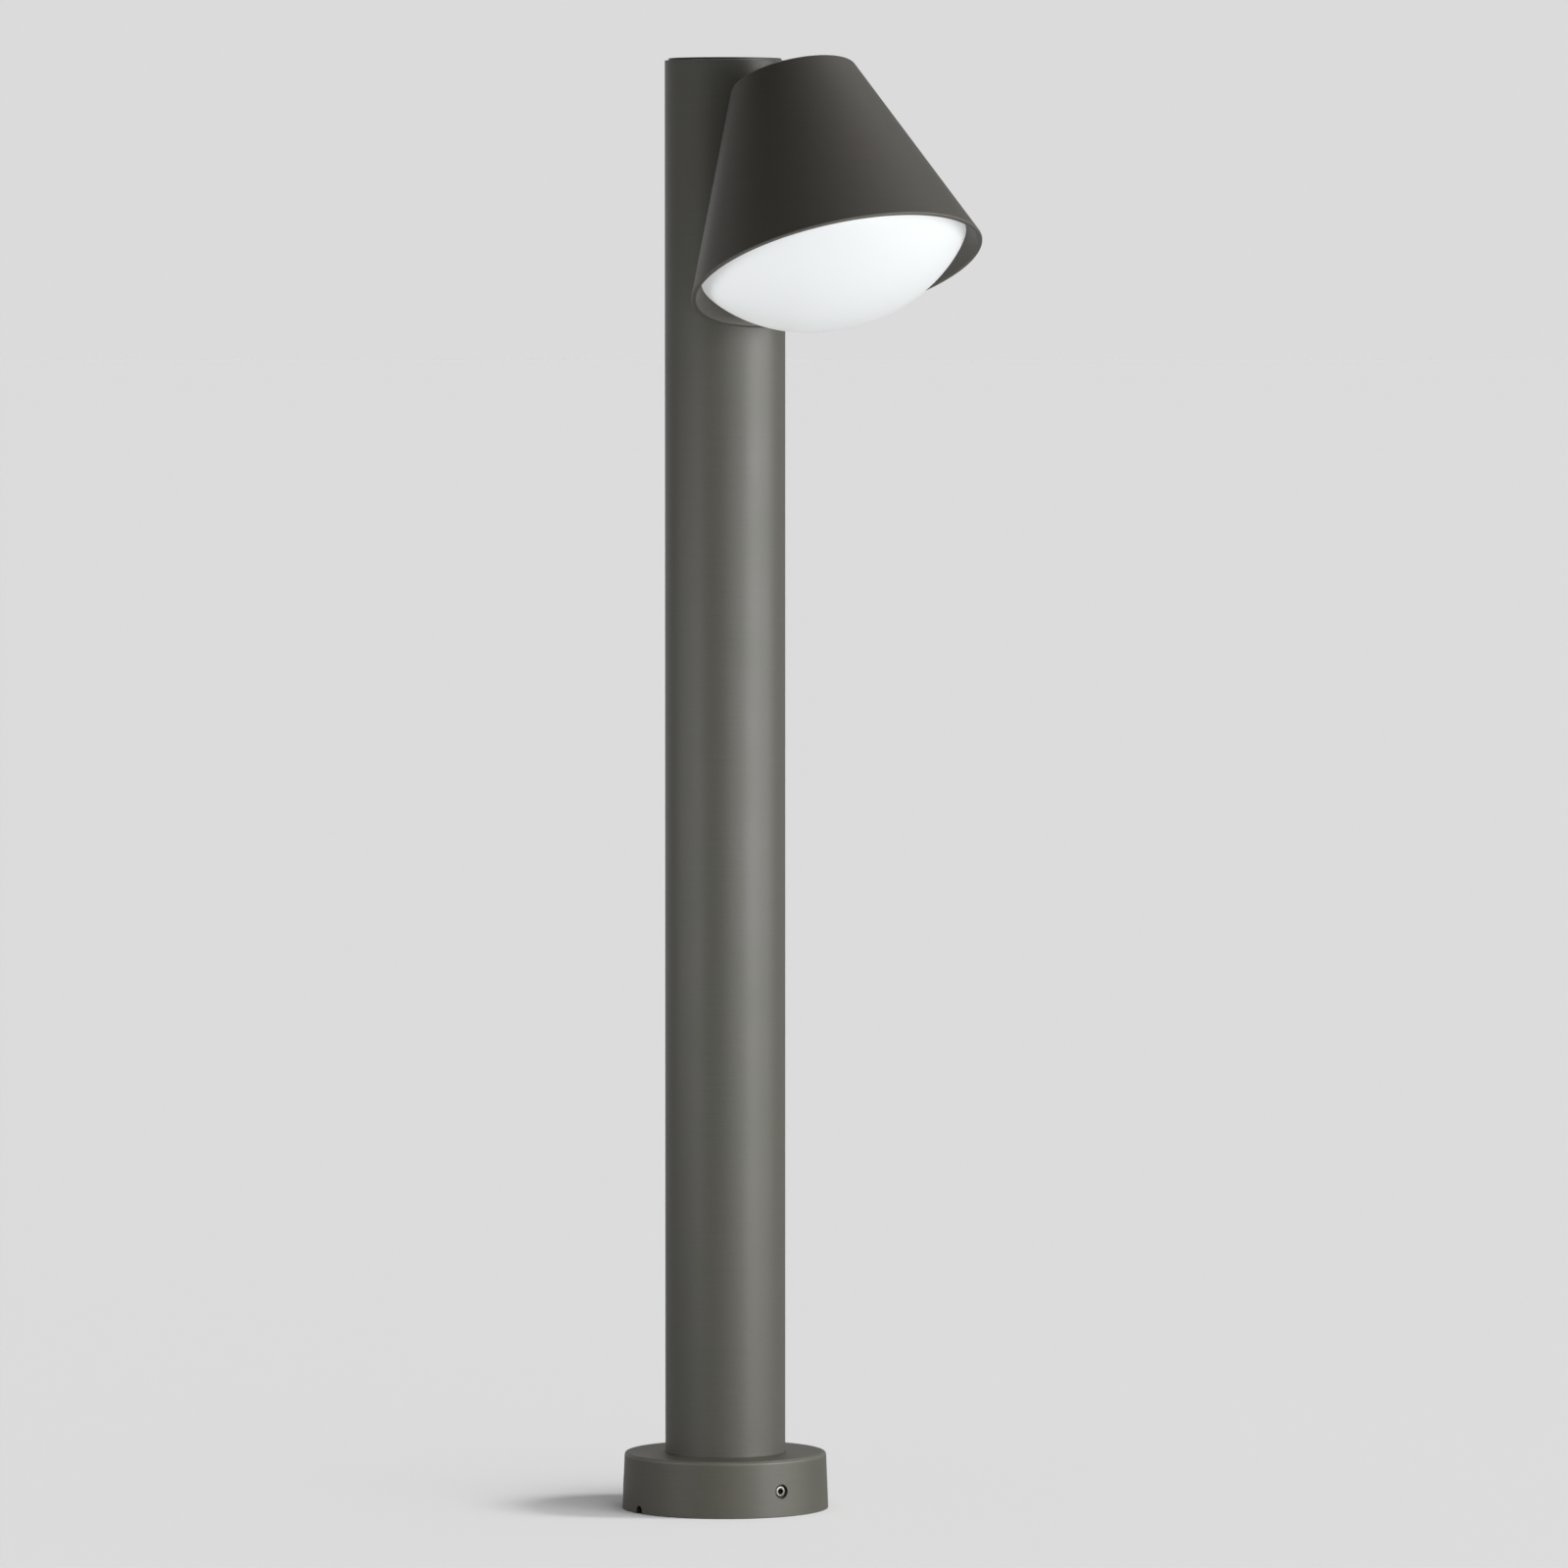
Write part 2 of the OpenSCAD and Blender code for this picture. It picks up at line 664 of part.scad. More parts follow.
module terminal_strip() {
    color("white") difference() {
        translate([-strip_w / 2, box_inner_back_y - strip_t, strip_z]) cube([strip_w, strip_t, strip_h]);
        for (i = [-1 : 1]) for (z = [strip_screw_edge, strip_h - strip_screw_edge])
            bar_y(i * strip_pitch, strip_z + z, box_inner_back_y - strip_t - 1,
                box_inner_back_y - strip_t + strip_screw_depth, strip_screw_r + fit_gap);
    }
}

module terminal_screws() {
    color("gold") for (i = [-1 : 1]) for (z = [strip_screw_edge, strip_h - strip_screw_edge])
        bar_y(i * strip_pitch, strip_z + z, box_inner_back_y - strip_t + 1,
            box_inner_back_y - strip_t + strip_screw_depth, strip_screw_r);
}

module fuse_holder() {
    color("white") translate([0, box_inner_back_y, fuse_z - fuse_base_h / 2]) {
        translate([-fuse_base_w / 2, -fuse_base_t, 0]) cube([fuse_base_w, fuse_base_t, fuse_base_h]);
        for (x = [-fuse_base_w / 2, fuse_base_w / 2 - fuse_cheek_w])
            translate([x, -fuse_base_t - 2 * fuse_r - 1, 0])
                cube([fuse_cheek_w, 2 * fuse_r + 1 + eps, fuse_base_h]);
    }
}

module fuse() {
    fuse_len = fuse_base_w - 2 * fuse_cheek_w;
    color("lightblue")
        translate([-fuse_len / 2, box_inner_back_y - fuse_base_t - fuse_r - 0.5, fuse_z])
            rotate([0, 90, 0]) cylinder(r = fuse_r, h = fuse_len);
}

module head_cable() {
    color("black") {
        translate([0, box_mid_y, sheath_end_z])
            cylinder(r = cable_r, h = saddle_z - cable_bend_r - sheath_end_z);
        translate([0, box_mid_y - cable_bend_r, saddle_z - cable_bend_r]) rotate([90, 0, 90])
            rotate_extrude(angle = 90) translate([cable_bend_r, 0]) circle(r = cable_r);
        bar_y(0, saddle_z, cable_end_y, box_mid_y - cable_bend_r, cable_r);
    }
}

module terminal_cores() {
    color("sienna") for (i = [-1 : 1])
        rod([i * 2.1 * core_r, box_mid_y, sheath_end_z - core_r / 5],
            [i * strip_pitch, box_inner_back_y - strip_t / 2, strip_z + strip_h + core_r / 2], core_r);
}

module holder_cores() {
    holder_side_y = sqrt(holder_r * holder_r - holder_entry_x * holder_entry_x);
    holder_entry_y = holder_side_y + core_r + fit_gap;
    color("sienna") {
        in_head() for (side = [-1, 1])
            rod(head_point([side * 2 * core_r, cable_end_y - 0.9 * core_r, saddle_z + core_r]),
                [side * holder_entry_x, holder_entry_y, holder_flange_z - holder_entry_drop], core_r);
        rod([0, cable_end_y - 1.8 * core_r, saddle_z - 2 * core_r],
            [earth_screw_x, pad_y - small_head_h - core_r - run_gap, saddle_z], core_r);
    }
}

// A point of the whole part, given in the head frame
function head_point(p) = let (y = p[1] - mouth_y, z = p[2] - mouth_z)
    [p[0], y * cos(tilt) - z * sin(tilt), y * sin(tilt) + z * cos(tilt)];

module head_saddle() {
    grow = fit_gap / cos(tilt);
    color("dimgray") difference() {
        bar_y(0, saddle_z, pad_y, 0, saddle_r);
        cylinder(r = column_r + fit_gap, h = column_h);
        in_head() cylinder(r1 = mouth_r + grow, r2 = shade_top_r + grow, h = shade_len);
        head_bolt_holes();
        bar_y(0, saddle_z, pad_y - 1, 1, cable_hole_r);
    }
}

module backing_plate() {
    outer_r = tube_inner_r - fit_gap;
    color("silver") difference() {
        intersection() {
            translate([-backing_w / 2, -tube_inner_r - 1, saddle_z - backing_h / 2])
                cube([backing_w, backing_t + 1, backing_h]);
            cylinder(r = outer_r, h = column_h);
        }
        for (z = head_bolt_z) bar_y(0, z, -column_r, 0, head_bolt_r + thread_gap);
        bar_y(0, saddle_z, -column_r, 0, cable_hole_r);
    }
}

module head_bolts() {
    color("silver") for (z = head_bolt_z) difference() {
        union() {
            bar_y(0, z, pad_y, pad_y + head_bolt_len, head_bolt_r);
            bar_y(0, z, pad_y - head_bolt_head_h, pad_y, head_bolt_head_r);
        }
        bar_y(0, z, pad_y - head_bolt_head_h - eps, pad_y - head_bolt_head_h / 2, head_bolt_r * 0.95, 6);
    }
}

module cable_grommet() {
    color("black") difference() {
        union() {
            bar_y(0, saddle_z, pad_y, -tube_inner_r + backing_t, grommet_r);
            bar_y(0, saddle_z, pad_y - grommet_flange_t, pad_y, grommet_flange_r);
        }
        bar_y(0, saddle_z, pad_y - 3, 0, grommet_bore_r);
    }
}

module shade() {
    color("dimgray") difference() {
        union() {
            in_head() {
                rotate_extrude() polygon([[mouth_r, 0], [shade_top_r, shade_len], [0, shade_len],
                    [0, shade_inner_end_z], [inner_r(shade_inner_end_z), shade_inner_end_z],
                    [inner_r(0), 0]]);
                translate([0, 0, holder_back_z])
                    cylinder(r = holder_boss_r, h = shade_end_t + holder_boss_h - 1);
                for (a = head_screw_angles) rotate(a) {
                    translate([post_pcr, 0, reflector_top_z])
                        cylinder(r = post_r, h = shade_inner_end_z - reflector_top_z + 1);
                    intersection() {
                        translate([seat_screw_pcr, 0, seat_ring_top_z])
                            cylinder(r = seat_boss_r, h = seat_boss_len);
                        rotate(-a) cylinder(r1 = mouth_r - wall_h / 2, h = shade_len,
                            r2 = shade_top_r - wall_h / 2);
                    }
                }
            }
            intersection() {
                bar_y(0, saddle_z, pad_y, 0, saddle_r);
                in_head() cylinder(r1 = mouth_r - wall_h / 2, r2 = shade_top_r - wall_h / 2, h = shade_len);
            }
        }
        head_bolt_holes();
        bar_y(0, saddle_z, pad_y - 1, 0, cable_hole_r);
        bar_y(earth_screw_x, saddle_z, pad_y - 1, pad_y + earth_screw_len, small_screw_r + thread_gap);
        in_head() {
            for (a = head_screw_angles) rotate(a) {
                translate([post_pcr, 0, reflector_top_z - 1])
                    cylinder(r = small_screw_r + thread_gap, h = reflector_screw_len + 1);
                translate([seat_screw_pcr, 0, seat_ring_top_z - 1])
                    cylinder(r = seat_screw_r + thread_gap, h = seat_screw_len - seat_ring_t + 2);
            }
            for (side = [-1, 1]) translate([side * holder_screw_x, 0, holder_back_z - 1])
                cylinder(r = small_screw_r + thread_gap, h = holder_boss_h + 1);
        }
    }
}

module head_earth_screw() {
    color("gold") translate([earth_screw_x, pad_y, saddle_z]) rotate([-90, 0, 0])
        pan_screw(small_screw_r, small_head_r, small_head_h, earth_screw_len);
}

module lampholder() {
    color("white") in_head() difference() {
        union() {
            translate([0, 0, holder_mouth_z]) cylinder(r = holder_r, h = holder_len);
            translate([0, 0, holder_flange_z]) cylinder(r = holder_flange_r, h = holder_flange_h);
        }
        translate([0, 0, holder_mouth_z - eps])
            cylinder(r = holder_bore_r, h = holder_roof_z - holder_mouth_z + eps);
        for (side = [-1, 1]) translate([side * holder_screw_x, 0, holder_flange_z - 1])
            cylinder(r = small_screw_r + fit_gap, h = holder_flange_h + 2);
    }
}

module holder_shell() {
    color("gold") in_head() translate([0, 0, holder_mouth_z + 2]) difference() {
        cylinder(r = holder_shell_r + holder_shell_t, h = holder_depth - 5);
        translate([0, 0, -eps]) cylinder(r = holder_shell_r, h = holder_depth);
    }
}

module holder_contact() {
    color("gold") in_head() translate([0, 0, contact_z]) {
        cylinder(r = 5, h = 1.2);
        cylinder(r = 2, h = holder_roof_z - contact_z);
    }
}

module holder_screws() {
    color("silver") in_head() for (side = [-1, 1]) translate([side * holder_screw_x, 0, holder_flange_z])
        pan_screw(small_screw_r, small_head_r, small_head_h, holder_screw_len);
}

module reflector() {
    open_r = reflector_mouth_r;
    color("white") in_head() difference() {
        rotate_extrude() polygon([[reflector_hole_r, reflector_top_z],
            [reflector_top_r, reflector_top_z], [open_r, reflector_z], [open_r - reflector_t, reflector_z],
            [reflector_top_r - reflector_t, reflector_top_z - reflector_t],
            [reflector_hole_r, reflector_top_z - reflector_t]]);
        for (a = head_screw_angles) rotate(a) translate([post_pcr, 0, reflector_top_z - 5])
            cylinder(r = small_screw_r + fit_gap, h = 10);
    }
}

module reflector_screws() {
    color("silver") in_head() for (a = head_screw_angles) rotate(a)
        translate([post_pcr, 0, reflector_top_z - reflector_t])
            pan_screw(small_screw_r, small_head_r, small_head_h, reflector_screw_len);
}

module glass_seat_ring() {
    color("dimgray") in_head() difference() {
        rotate_extrude() polygon([[seat_bore_r, seat_ring_z],
            [inner_r(seat_ring_z) - fit_gap, seat_ring_z],
            [inner_r(seat_ring_top_z) - fit_gap, seat_ring_top_z], [seat_bore_r, seat_ring_top_z]]);
        for (a = slot_angles) rotate(a - slot_span / 2) rotate_extrude(angle = slot_span)
            translate([neck_r - 1, seat_ring_z - 1])
                square([lug_reach + 1 + 2 * run_gap, seat_ring_t + 2]);
        for (a = head_screw_angles) rotate(a) translate([seat_screw_pcr, 0, seat_ring_z])
            countersunk_hole(seat_screw_r, seat_head_r, 2, seat_ring_t);
    }
}

module seat_ring_screws() {
    color("silver") in_head() for (a = head_screw_angles) rotate(a)
        translate([seat_screw_pcr, 0, seat_ring_z])
            countersunk_screw(seat_screw_r, seat_head_r, 2, seat_screw_len, seat_screw_r * 0.6);
}

module glass_gasket() {
    color("white") in_head() translate([0, 0, gasket_z]) difference() {
        cylinder(r = seat_bore_r + gasket_w, h = gasket_t);
        translate([0, 0, -eps]) cylinder(r = seat_bore_r, h = gasket_t + 2 * eps);
    }
}

module opal_glass() {
    inner_neck_r = neck_r - glass_t;
    outer = dome_points(glass_r, glass_bulge, glass_edge_z, 24);
    inner = dome_points(glass_r - glass_t, glass_bulge - glass_t, glass_edge_z, 24);
    brim = [for (a = [0 : 15 : 90]) [glass_r + glass_brim_r * (cos(a) - 1),
        shoulder_z + glass_brim_r * (sin(a) - 1)]];
    color("white") in_head() union() {
        rotate_extrude() polygon(concat(outer, brim,
            [[neck_r, shoulder_z], [neck_r, neck_top_z], [inner_neck_r, neck_top_z],
            [inner_neck_r, glass_edge_z]],
            [for (i = [len(inner) - 1 : -1 : 0]) inner[i]]));
        for (a = slot_angles) rotate(a + glass_twist - lug_span / 2) rotate_extrude(angle = lug_span)
            translate([neck_r - 1, lug_z]) square([lug_reach + 1, lug_h]);
    }
}

module lamp_cap() {
    shell_h = lamp_cap_len - 3;
    color("silver") in_head() translate([0, 0, housing_top_z]) {
        cylinder(r = lamp_cap_r, h = shell_h);
        translate([0, 0, shell_h]) cylinder(r1 = lamp_cap_r * 0.8, r2 = lamp_cap_r * 0.4, h = 2);
        translate([0, 0, shell_h + 2]) cylinder(r = lamp_cap_r * 0.35, h = 1);
    }
}

module lamp_housing() {
    low_z = globe_z + globe_cut;
    h = housing_top_z - low_z;
    color("white") in_head() rotate_extrude() polygon([[0, low_z], [globe_cut_r, low_z],
        [globe_cut_r * 0.93, low_z + h * 0.22], [housing_top_r * 1.15, low_z + h * 0.75],
        [housing_top_r, low_z + h * 0.9], [housing_top_r, housing_top_z], [0, housing_top_z]]);
}

module lamp_globe() {
    color("white") in_head() translate([0, 0, globe_z]) difference() {
        sphere(r = globe_r);
        sphere(r = globe_r - globe_wall);
        translate([0, 0, globe_cut]) cylinder(r = globe_r + 1, h = globe_r);
    }
}

mounting_plate();
base_flange();
set_screws();
foot_screws();
column_tube();
top_cap();
cap_seal();
cap_screws();
earth_terminal();
box_bracket();
bracket_screws();
connection_box();
box_lid();
lid_screws();
supply_gland();
head_cable_gland();
terminal_strip();
terminal_screws();
fuse_holder();
fuse();
head_cable();
terminal_cores();
holder_cores();
head_saddle();
backing_plate();
head_bolts();
cable_grommet();
shade();
head_earth_screw();
lampholder();
holder_shell();
holder_contact();
holder_screws();
reflector();
reflector_screws();
glass_seat_ring();
seat_ring_screws();
glass_gasket();
opal_glass();
lamp_cap();
lamp_housing();
lamp_globe();
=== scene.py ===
"""Looks of a bollard luminaire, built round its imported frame.

A tube column stands on a short round base. A tilted cone shade with a domed opal glass hangs in
front of the column's top. All lengths are in metres unless a name says otherwise.
"""
import json
import logging
import math
from dataclasses import dataclass, field, replace
from enum import Enum
from functools import cache

import bmesh
import bpy
from mathutils import Euler, Matrix, Vector


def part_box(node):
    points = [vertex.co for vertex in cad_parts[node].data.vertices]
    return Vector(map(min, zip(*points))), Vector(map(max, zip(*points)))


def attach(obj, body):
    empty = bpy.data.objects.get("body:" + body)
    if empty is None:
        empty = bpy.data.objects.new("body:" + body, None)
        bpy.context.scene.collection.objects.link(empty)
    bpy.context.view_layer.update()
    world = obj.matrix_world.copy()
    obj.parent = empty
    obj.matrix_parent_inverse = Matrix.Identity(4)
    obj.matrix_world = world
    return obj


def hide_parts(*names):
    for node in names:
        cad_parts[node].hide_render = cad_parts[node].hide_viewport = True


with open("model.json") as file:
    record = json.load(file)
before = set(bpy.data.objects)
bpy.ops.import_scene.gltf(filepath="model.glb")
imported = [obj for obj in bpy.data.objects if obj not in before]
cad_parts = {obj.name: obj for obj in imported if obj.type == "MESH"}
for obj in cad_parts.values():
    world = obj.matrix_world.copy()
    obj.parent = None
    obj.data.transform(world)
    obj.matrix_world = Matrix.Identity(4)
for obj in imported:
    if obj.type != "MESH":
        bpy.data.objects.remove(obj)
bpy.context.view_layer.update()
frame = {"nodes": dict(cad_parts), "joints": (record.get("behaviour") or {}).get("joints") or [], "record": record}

MM = 0.001
FULL_TURN = 2 * math.pi
WELD = 1e-6                       # points closer than this become one
OVERLAP = 1 * MM                  # how far shapes that are welded reach into each other
CUT_PAST = 10 * MM                # how far a cutting tool reaches past what it cuts
SHARP_ANGLE = math.radians(28)    # an edge sharper than this isn't shaded smooth
LOG = logging.getLogger("bollard_luminaire")

Colour = tuple[float, float, float]
Section = list[tuple[float, float, float]]


def from_srgb(levels: tuple[int, int, int]) -> Colour:
    """Turn a colour in 8-bit display levels into linear light.

    Args:
        levels: red, green and blue from 0 to 255.

    Returns:
        The linear colour.
    """
    def linear(level: int) -> float:
        """Turn one display level into linear light."""
        share = level / 255
        return share / 12.92 if share <= 0.04045 else ((share + 0.055) / 1.055) ** 2.4
    return tuple(linear(level) for level in levels)


# ---------------------------------------------------------------- node helpers


class Tree:
    """A thin layer over a node tree that adds nodes and joins their sockets."""

    def __init__(self, tree: bpy.types.NodeTree) -> None:
        """Keep the tree that nodes are added to."""
        self.tree = tree

    def add(self, kind: str, inputs: dict | None = None, **settings: object) -> bpy.types.Node:
        """Add a node, set its properties and fill or link its inputs.

        Args:
            kind: the node's type name.
            inputs: socket name or number to a value or to another node's output.
            settings: properties of the node itself.

        Returns:
            The new node.
        """
        node = self.tree.nodes.new(kind)
        for name, value in settings.items():
            setattr(node, name, value)
        for name, value in (inputs or {}).items():
            if isinstance(value, bpy.types.NodeSocket):
                self.tree.links.new(value, node.inputs[name])
            else:
                node.inputs[name].default_value = value
        return node

    def math(self, operation: str, a: object, b: object = 0.0, c: object = 0.0,
             clamp: bool = False) -> bpy.types.NodeSocket:
        """Add a Math node and return its output."""
        return self.add("ShaderNodeMath", {0: a, 1: b, 2: c}, operation=operation,
                        use_clamp=clamp).outputs[0]

    def between(self, factor: object, a: object, b: object) -> bpy.types.NodeSocket:
        """Add a Mix node for values and return the level that lies between a and b."""
        return self.add("ShaderNodeMix", {"Factor": factor, "A": a, "B": b}, data_type="FLOAT").outputs[0]

    def mix(self, factor: object, a: object, b: object, blend: str = "MIX") -> bpy.types.NodeSocket:
        """Add a colour Mix node and return its result.

        Args:
            factor: how much of b is taken, as a value or an output.
            a: the first colour, as three values or an output.
            b: the second colour.
            blend: how the two are mixed.

        Returns:
            The mixed colour.
        """
        a, b = ((*c, 1) if isinstance(c, tuple) else c for c in (a, b))
        made = self.add("ShaderNodeMix", {"Factor": factor, "A": a, "B": b}, data_type="RGBA",
                        blend_type=blend)
        return next(s for s in made.outputs if s.type == "RGBA")

    def socket(self, name: str, kind: str, default: object = None, output: bool = False) -> None:
        """Give the group a named input or output.

        Args:
            name: the socket's name.
            kind: the short socket type, such as Float or Geometry.
            default: an input's default value.
            output: True for an output.
        """
        side = "OUTPUT" if output else "INPUT"
        made = self.tree.interface.new_socket(name=name, in_out=side, socket_type="NodeSocket" + kind)
        if default is not None:
            made.default_value = default


def fresh_tree(owner: bpy.types.Material | bpy.types.World) -> Tree:
    """Give a material or world an empty node tree.

    Args:
        owner: the material or world.

    Returns:
        Its tree.
    """
    owner.use_nodes = True
    owner.node_tree.nodes.clear()
    return Tree(owner.node_tree)


# ---------------------------------------------------------------- scene helpers


def new_object(name: str, data: bpy.types.ID) -> bpy.types.Object:
    """Put a new object with its data in the scene.

    Args:
        name: its name.
        data: its mesh, lamp or camera.

    Returns:
        The object.
    """
    made = bpy.data.objects.new(name, data)
    bpy.context.scene.collection.objects.link(made)
    return made


def applied(worker: bpy.types.Object, name: str) -> bpy.types.Mesh:
    """Copy an object's mesh with its modifiers applied.

    Args:
        worker: the object.
        name: the new mesh's name.

    Returns:
        The new mesh.
    """
    bpy.context.view_layer.update()
    graph = bpy.context.evaluated_depsgraph_get()
    result = bpy.data.meshes.new_from_object(worker.evaluated_get(graph))
    result.name = name
    return result


# ---------------------------------------------------------------- geometry node trees


class NodeTool:
    """A Geometry Nodes tree that turns a small start mesh into a finished piece."""

    def __init__(self, name: str) -> None:
        """Make the empty tree with its geometry sockets.

        Args:
            name: the tree's name.
        """
        self.group = bpy.data.node_groups.new(name, "GeometryNodeTree")
        self.group.is_modifier = True
        self.tree = Tree(self.group)
        self.tree.socket("Geometry", "Geometry")
        self.tree.socket("Geometry", "Geometry", output=True)

    def finish(self, geometry: bpy.types.NodeSocket, material: bpy.types.NodeSocket) -> None:
        """Close the tree with Realize Instances and Set Material.

        Args:
            geometry: the geometry so far.
            material: the group input that holds the material.
        """
        real = self.tree.add("GeometryNodeRealizeInstances", {0: geometry})
        dressed = self.tree.add("GeometryNodeSetMaterial", {
            "Geometry": real.outputs[0], "Material": material})
        self.tree.add("NodeGroupOutput", {0: dressed.outputs[0]})

    def run(self, mesh: bpy.types.Mesh, name: str, values: dict) -> bpy.types.Mesh:
        """Apply the tree to a mesh.

        Args:
            mesh: the start mesh, which is used up.
            name: the name of the result.
            values: group input name to value.

        Returns:
            A plain mesh.
        """
        worker = new_object(name + "_work", mesh)
        modifier = worker.modifiers.new("tool", "NODES")
        modifier.node_group = self.group
        for item in self.group.interface.items_tree:
            if item.item_type == "SOCKET" and item.in_out == "INPUT" and item.name in values:
                modifier[item.identifier] = values[item.name]
        result = applied(worker, name)
        bpy.data.objects.remove(worker)
        return result


class Lathe(NodeTool):
    """Turns a half section in the XZ plane round the Z axis."""

    def __init__(self) -> None:
        """Build the tree: a grid whose columns follow the section and whose rows go round."""
        super().__init__("lathe")
        t = self.tree
        t.socket("Steps round", "Int", 128)
        t.socket("Weld distance", "Float", WELD)
        t.socket("Material", "Material")
        given = t.add("NodeGroupInput").outputs
        count = t.add("GeometryNodeAttributeDomainSize", {0: given["Geometry"]}).outputs["Point Count"]
        last = t.math("SUBTRACT", count, 1.0)
        steps = given["Steps round"]
        grid = t.add("GeometryNodeMeshGrid", {
            "Size X": last, "Size Y": steps, "Vertices X": count, "Vertices Y": t.math("ADD", steps, 1.0)})
        place = t.add("ShaderNodeSeparateXYZ", {0: t.add("GeometryNodeInputPosition").outputs[0]}).outputs
        index = t.math("ROUND", t.math("ADD", place["X"], t.math("DIVIDE", last, 2.0)))
        share = t.math("ADD", t.math("DIVIDE", place["Y"], steps), 0.5)
        angle = t.math("MULTIPLY", share, FULL_TURN)
        spot = t.add("GeometryNodeInputPosition").outputs[0]
        mark = t.add("GeometryNodeInputNamedAttribute", {"Name": "edge"}, data_type="FLOAT").outputs[0]
        section, edge = (
            t.add("GeometryNodeSampleIndex", {"Geometry": given["Geometry"], "Value": value, "Index": index},
                  data_type=kind) for value, kind in ((spot, "FLOAT_VECTOR"), (mark, "FLOAT")))
        kept = t.add("GeometryNodeStoreNamedAttribute", {
            "Geometry": grid.outputs["Mesh"], "Name": "edge", "Value": edge.outputs[0]},
            data_type="FLOAT", domain="POINT")
        point = t.add("ShaderNodeSeparateXYZ", {0: section.outputs[0]}).outputs
        target = t.add("ShaderNodeCombineXYZ", {
            "X": t.math("MULTIPLY", point["X"], t.math("COSINE", angle)),
            "Y": t.math("MULTIPLY", point["X"], t.math("SINE", angle)), "Z": point["Z"]})
        placed = t.add("GeometryNodeSetPosition", {
            "Geometry": kept.outputs[0], "Position": target.outputs[0]})
        welded = t.add("GeometryNodeMergeByDistance", {
            "Geometry": placed.outputs[0], "Distance": given["Weld distance"]})
        smooth = t.add("GeometryNodeSetShadeSmooth", {"Geometry": welded.outputs[0]})
        self.finish(smooth.outputs[0], given["Material"])

    def turn(self, outline: "Outline", name: str, steps: int = 192) -> bpy.types.Mesh:
        """Turn an outline into a closed mesh.

        Args:
            outline: the half section.
            name: the mesh's name.
            steps: how many faces go round.

        Returns:
            The turned mesh, with its faces outwards.
        """
        points = outline.points()
        edges = [(i, i + 1) for i in range(len(points) - 1)]
        mesh = bpy.data.meshes.new(name + "_section")
        mesh.from_pydata([(r, 0, z) for r, z, mark in points], edges, [])
        set_marks(mesh, "edge", [mark for r, z, mark in points])
        return outwards(self.run(mesh, name, {"Steps round": steps}))


class Ring(NodeTool):
    """Sets copies of a mesh round the Z axis at equal steps."""

    def __init__(self) -> None:
        """Build the tree: the mesh is moved out and up, then instanced round the axis."""
        super().__init__("ring")
        t = self.tree
        t.socket("Count", "Int", 3)
        for name in ("First angle", "Distance", "Height"):
            t.socket(name, "Float", 0.0)
        t.socket("Material", "Material")
        given = t.add("NodeGroupInput").outputs
        offset = t.add("ShaderNodeCombineXYZ", {"X": given["Distance"], "Z": given["Height"]})
        moved = t.add("GeometryNodeTransform", {
            "Geometry": given["Geometry"], "Translation": offset.outputs[0]})
        points = t.add("GeometryNodePoints", {"Count": given["Count"]})
        step = t.math("DIVIDE", FULL_TURN, given["Count"])
        index = t.add("GeometryNodeInputIndex").outputs[0]
        angle = t.math("ADD", given["First angle"], t.math("MULTIPLY", index, step))
        turn = t.add("ShaderNodeCombineXYZ", {"Z": angle})
        copies = t.add("GeometryNodeInstanceOnPoints", {
            "Points": points.outputs[0], "Instance": moved.outputs[0], "Rotation": turn.outputs[0]})
        self.finish(copies.outputs[0], given["Material"])

    def repeat(self, mesh: bpy.types.Mesh, name: str, count: int, first: float,
               distance: float = 0.0, height: float = 0.0) -> bpy.types.Mesh:
        """Repeat a mesh round the axis.

        Args:
            mesh: the mesh of one copy, which is used up.
            name: the result's name.
            count: how many copies.
            first: the first copy's angle in degrees.
            distance: how far out each copy lies.
            height: how far up each copy lies.

        Returns:
            One mesh that holds all the copies.
        """
        return self.run(mesh, name, {"Count": count, "First angle": math.radians(first),
                                     "Distance": distance, "Height": height})


# ---------------------------------------------------------------- outlines and meshes


@dataclass(frozen=True)
class Corner:
    """A corner of a half section, with the radius that rounds it."""

    r: float
    z: float
    round: float = 0.0


